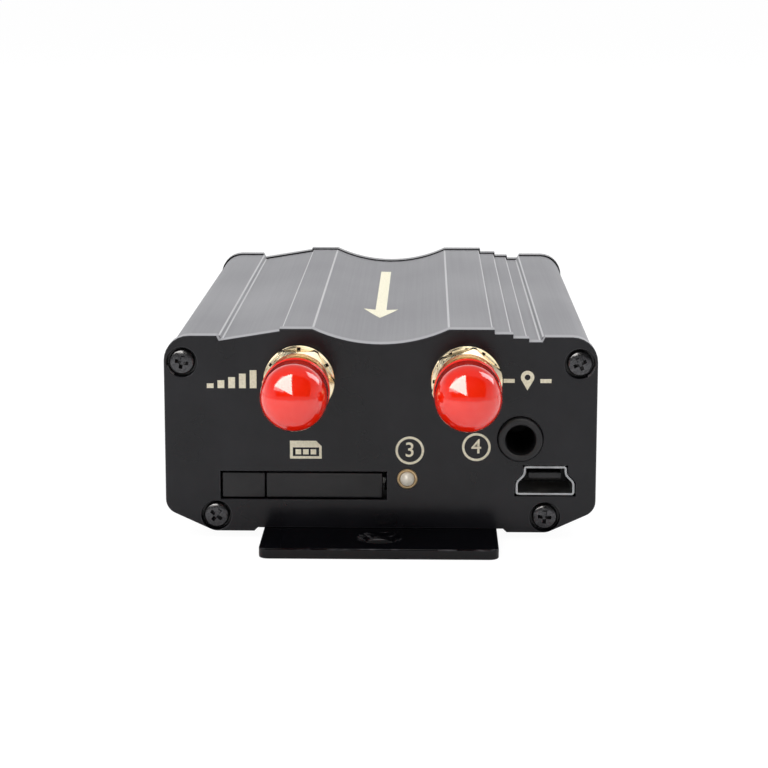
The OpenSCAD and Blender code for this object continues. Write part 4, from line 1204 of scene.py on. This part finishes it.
# %% Signal bars and position pin
BAR_W, BAR_FOOT = 0.85, 19.3
bar_tops = {-21.8: 19.9, -20.45: 20.3, -19.1: 20.7, -17.75: 21.15, -16.4: 21.6}
bars = [ink_plate(f"bar_{i}", rectangle(x, x + BAR_W, BAR_FOOT, top))
        for i, (x, top) in enumerate(bar_tops.items())]
settle(joined(bars, "signal_mark"), ink_finish, "case")

PIN_X, PIN_FOOT, PIN_MIDDLE, PIN_R = 18.4, 19.2, 20.85, 0.85
drop = ink_plate("position_mark", [(PIN_X, PIN_FOOT),
                                   *arc((PIN_X, PIN_MIDDLE), PIN_R, -20, 200, 11)])
carve(drop, rod("pin_hole", PIN_X, PIN_MIDDLE, 0.36, front_y - 1, front_y + 1))
wings = [ink_plate(f"wing_{side}", rectangle(PIN_X + side * 1.6, PIN_X + side * 3.0, 20.15, 20.65))
         for side in (-1, 1)]
settle(joined([drop, *wings]), ink_finish, "case")

# %% [markdown]
# The small card has one corner cut off and a window with three contacts in it. Each port number
# stands in a ring.

# %% Card and port numbers
card_mark = ink_plate("card_mark", [(-11.4, 10.3), (-7.4, 10.3), (-7.4, 11.9), (-8.1, 12.6),
                                    (-11.4, 12.6)])
carve(card_mark, block("card_inner", (-11.05, front_y - 1, 10.62), (-7.72, front_y + 1, 11.75)))
chips = [ink_plate(f"chip_{i}", rectangle(x, x + 0.7, 10.85, 11.5))
         for i, x in enumerate((-10.7, -9.75, -8.8))]
settle(joined([card_mark, *chips]), ink_finish, "case")

for name, text, x, z in (("port_number_3", "3", 3.7, 11.42), ("port_number_4", "4", 12.08, 11.9)):
    ring = ink_ring(name, x, z, 1.8, 1.5)
    settle(joined([ring, numeral(f"{name}_figure", text, x, z, 1.9)]), ink_finish, "case")

# %% [markdown]
# The mark on top lies in the shallow dish. A plain arrow is extruded upwards, and only what it
# shares with a thin curved skin is kept, so that the ink follows the metal. A shrinkwrap would
# bend it too, but it would press both faces of the ink onto the metal.

# %% Mark on the dish
DISH_R, DISH_Z = 20.19, 44.94
arrow = slab("top_mark", [(-1.3, 27), (-1.3, -12), (-2.9, -12), (-0.55, -19), (1.8, -12),
                          (0.2, -12), (0.2, 27)], 20, 30, upright=True)
skin_outline = [(radius * math.sin(math.radians(t)), DISH_Z - radius * math.cos(math.radians(t)))
                for radius, turns in ((DISH_R + 0.01, range(-10, 11)),
                                      (DISH_R - INK, range(10, -11, -1)))
                for t in turns]
carve(arrow, slab("skin", skin_outline, -30, 30), "INTERSECT")
settle(arrow, ink_finish, "case")

# %% [markdown]
# ## What stays as CAD
# Every other node keeps its shape from CAD, because it is inside or already right, and gets a
# finish. The board has a green mask over copper traces, for which a stretched brick pattern is
# enough. The battery has a creased foil wrap, and the tape on it is foam with small cells.

# %% Board, battery and foam finishes
board_finish = Finish("board_mask", "board_green", IOR=1.5)
trace = board_finish.node("ShaderNodeTexBrick", {"offset": 0.37, "squash": 0.6}, output="Fac",
                          Vector=board_finish.stretched((0.35, 0.22, 0.35)), Scale=1.0,
                          **{"Mortar Size": 0.03})
weave = board_finish.noise(2, detail=2)
mask = board_finish.mix(weave, (0.008, 0.09, 0.035), (0.012, 0.13, 0.05))
board_finish.feed(Base_Color=board_finish.mix(trace, mask, (0.05, 0.26, 0.1)),
                  Roughness=0.25 + 0.15 * weave)
board_finish.relief(trace, 0.03)

wrap_finish = Finish("foil_wrap", "battery_wrap", Metallic=0.5)
crease = wrap_finish.noise((0.15, 0.4, 0.4), detail=4, rough=0.6)
wrap_finish.drift(crease, (0.24, 0.27, 0.32), (0.36, 0.4, 0.46), crease, 0.28, 0.25)
wrap_finish.relief(crease, 0.12)

foam_finish = Finish("foam_tape", "foam")
cells = foam_finish.node("ShaderNodeTexVoronoi", {"feature": "F1"}, output="Distance",
                         Vector=foam_finish.stretched(2.5), Scale=1.0)
foam_finish.feed(Base_Color=foam_finish.mix(cells, (0.75, 0.74, 0.7), (0.86, 0.86, 0.83)),
                 Roughness=0.75 + 0.2 * cells)
foam_finish.relief(cells, 0.08)
print("inner finishes made")

# %% [markdown]
# A CAD node comes with a placeholder material that is named after its slot, so the slot's name
# is all that is needed to find its finish.

# %% Finishes of the nodes that stay
by_slot = {finish.slot: finish.material for finish in (
    case_finish, plate_finish, strap_finish, screw_finish, gold_finish, cap_finish, mould_finish,
    tin_finish, white_finish, lens_finish, board_finish, wrap_finish, foam_finish, wire_finish)}
for name, node in frame["nodes"].items():
    if name not in replaced:
        for place in node.material_slots:
            place.material = by_slot[place.material.name]
print("kept CAD nodes:", sorted(set(frame["nodes"]) - replaced))

# %% [markdown]
# ## Stage
# The object stands on a plain pale floor. More light would turn the floor white, but it would
# bleach the object as well. So the floor glows a little for the camera alone: it turns white as
# in the photo and keeps only a faint shadow, and no extra light falls on the object.

# %% Floor
clear()
bpy.ops.mesh.primitive_plane_add(size=40, location=(0, 0, -0.00005))
floor = bpy.context.object
floor.name = "floor"
floor_finish = Finish("floor_pale", "stage", Roughness=0.9, Specular_IOR_Level=0.1)
floor_finish.shader.inputs["Base Color"].default_value = (0.86, 0.86, 0.86, 1)
seen = floor_finish.node("ShaderNodeLightPath", {}, output="Is Camera Ray")
glow = floor_finish.node("ShaderNodeEmission", {}, Color=(1, 1, 1), Strength=1.1)
lit = Value(floor_finish, floor_finish.shader.outputs[0])
GLOW_SHARE = 0.87
blend = floor_finish.node("ShaderNodeMixShader", {},
                          **{"0": seen * GLOW_SHARE, "1": lit, "2": glow})
floor_finish.set(floor_finish.tree.nodes["Material Output"].inputs["Surface"], blend)
floor.data.materials.append(floor_finish.material)

# %% [markdown]
# The highlights in the photo point to a large softbox at the upper left, a strip at the right
# and a broad light overhead. The overhead lamp would wash out the red of the caps, so light
# linking leaves them out of it, and they get a front lamp of their own, which casts light but
# shows no reflection.

# %% Lights
CAPS = "_cap_dressed"
SCREWS = ("screw_1", "screw_2", "screw_3", "screw_4")


def softbox(name, place, size, power):
    """A rectangular area light aimed at the object."""
    clear()
    bpy.ops.object.light_add(type="AREA", location=place)
    lamp = bpy.context.object
    lamp.name = name
    lamp.data.shape = "RECTANGLE"
    lamp.data.size, lamp.data.size_y = size
    lamp.data.energy = power
    aim = Vector((0, -0.03, 0.015)) - Vector(place)
    lamp.rotation_euler = aim.to_track_quat("-Z", "Y").to_euler()
    return lamp


def link(light, state, *endings):
    """INCLUDE: only the pieces whose names end so receive the light. EXCLUDE: all others do."""
    chosen = bpy.data.collections.new(f"{light.name}_link")
    for piece in bpy.data.objects:
        if piece.name.endswith(endings):
            chosen.objects.link(piece)
    for linked in chosen.collection_objects:
        linked.light_linking.link_state = state
    light.light_linking.receiver_collection = chosen


overhead = softbox("overhead", (0, 0.2, 0.9), (1.2, 1.0), 6.5)
softbox("key_left", (-0.34, -0.3, 0.44), (0.42, 0.5), 1.6)
softbox("strip_right", (0.45, 0.28, 0.45), (0.26, 0.4), 1.1)
link(overhead, "EXCLUDE", CAPS)
matt_light = softbox("front_for_caps", (0, -0.35, 0.6), (0.6, 0.6), 1.7)
matt_light.visible_glossy = False
link(matt_light, "INCLUDE", CAPS)
print("lamps set")

# %% [markdown]
# Two reflectors stand in front of the object and overhead, seen by gloss alone. A bright
# three-cornered one gives the caps their highlight. Light linking keeps it off the metal of the
# case, which would glare. Behind it a wide dim one fills the bare metal, and leaves out the caps
# and the black pieces, whose colours stay deep.

# %% Reflectors


def reflector(name, places, strength):
    """A glowing card with these corners."""
    clear()
    bpy.ops.mesh.primitive_circle_add(vertices=len(places), radius=0.5, fill_type="NGON")
    card = bpy.context.object
    card.name = name
    for vert, place in zip(card.data.vertices, places):
        vert.co = place
    material = bpy.data.materials.new(f"{name}_glow")
    material.use_nodes = True
    nodes = Nodes(material.node_tree)
    glow = nodes.node("ShaderNodeEmission", {}, Color=(1, 0.97, 0.9), Strength=strength)
    nodes.set(nodes.tree.nodes["Material Output"].inputs["Surface"], glow)
    card.data.materials.append(material)
    card.visible_camera = card.visible_diffuse = card.visible_shadow = False
    return card


corner = reflector("corner_reflector", ((-0.5, -0.16, 0.31), (-0.055, -0.05, 0.55),
                                        (-0.03, -0.57, 0.16)), 10.0)
link(corner, "INCLUDE", CAPS, "status_lens", *SCREWS)
wide = reflector("wide_reflector", ((-1.3, -1.0, 0.2), (1.3, -1.0, 0.2), (1.3, -0.15, 1.3),
                                    (-1.3, -0.15, 1.3)), 1.3)
link(wide, "EXCLUDE", CAPS, "plate_dressed", "mounting_strap", *SCREWS)
print("reflectors set")

# %% [markdown]
# The world is a studio seen in reflections: a pale wall behind the object, a dim room in front
# of it and a ceiling that is darker still. A single grey would leave the metal flat, and three
# tones need no image of a studio.

# %% World
world = bpy.data.worlds.new("studio")
bpy.context.scene.world = world
world.use_nodes = True
studio = Nodes(world.node_tree)
_, back, up = studio.parts(studio.node("ShaderNodeTexCoord", {}, output="Generated"))
wall = back.between(-0.6, 0.6)
low = 1 - up.between(0.05, 0.55)
CEILING, BACK_WALL, ROOM = 0.24, 0.7, 0.11
level = CEILING + low * (BACK_WALL * wall + ROOM)
sky = studio.node("ShaderNodeCombineColor", {}, Red=level, Green=level, Blue=level * 1.02)
studio.set(studio.tree.nodes["Background"].inputs["Color"], sky)
print("stage set")
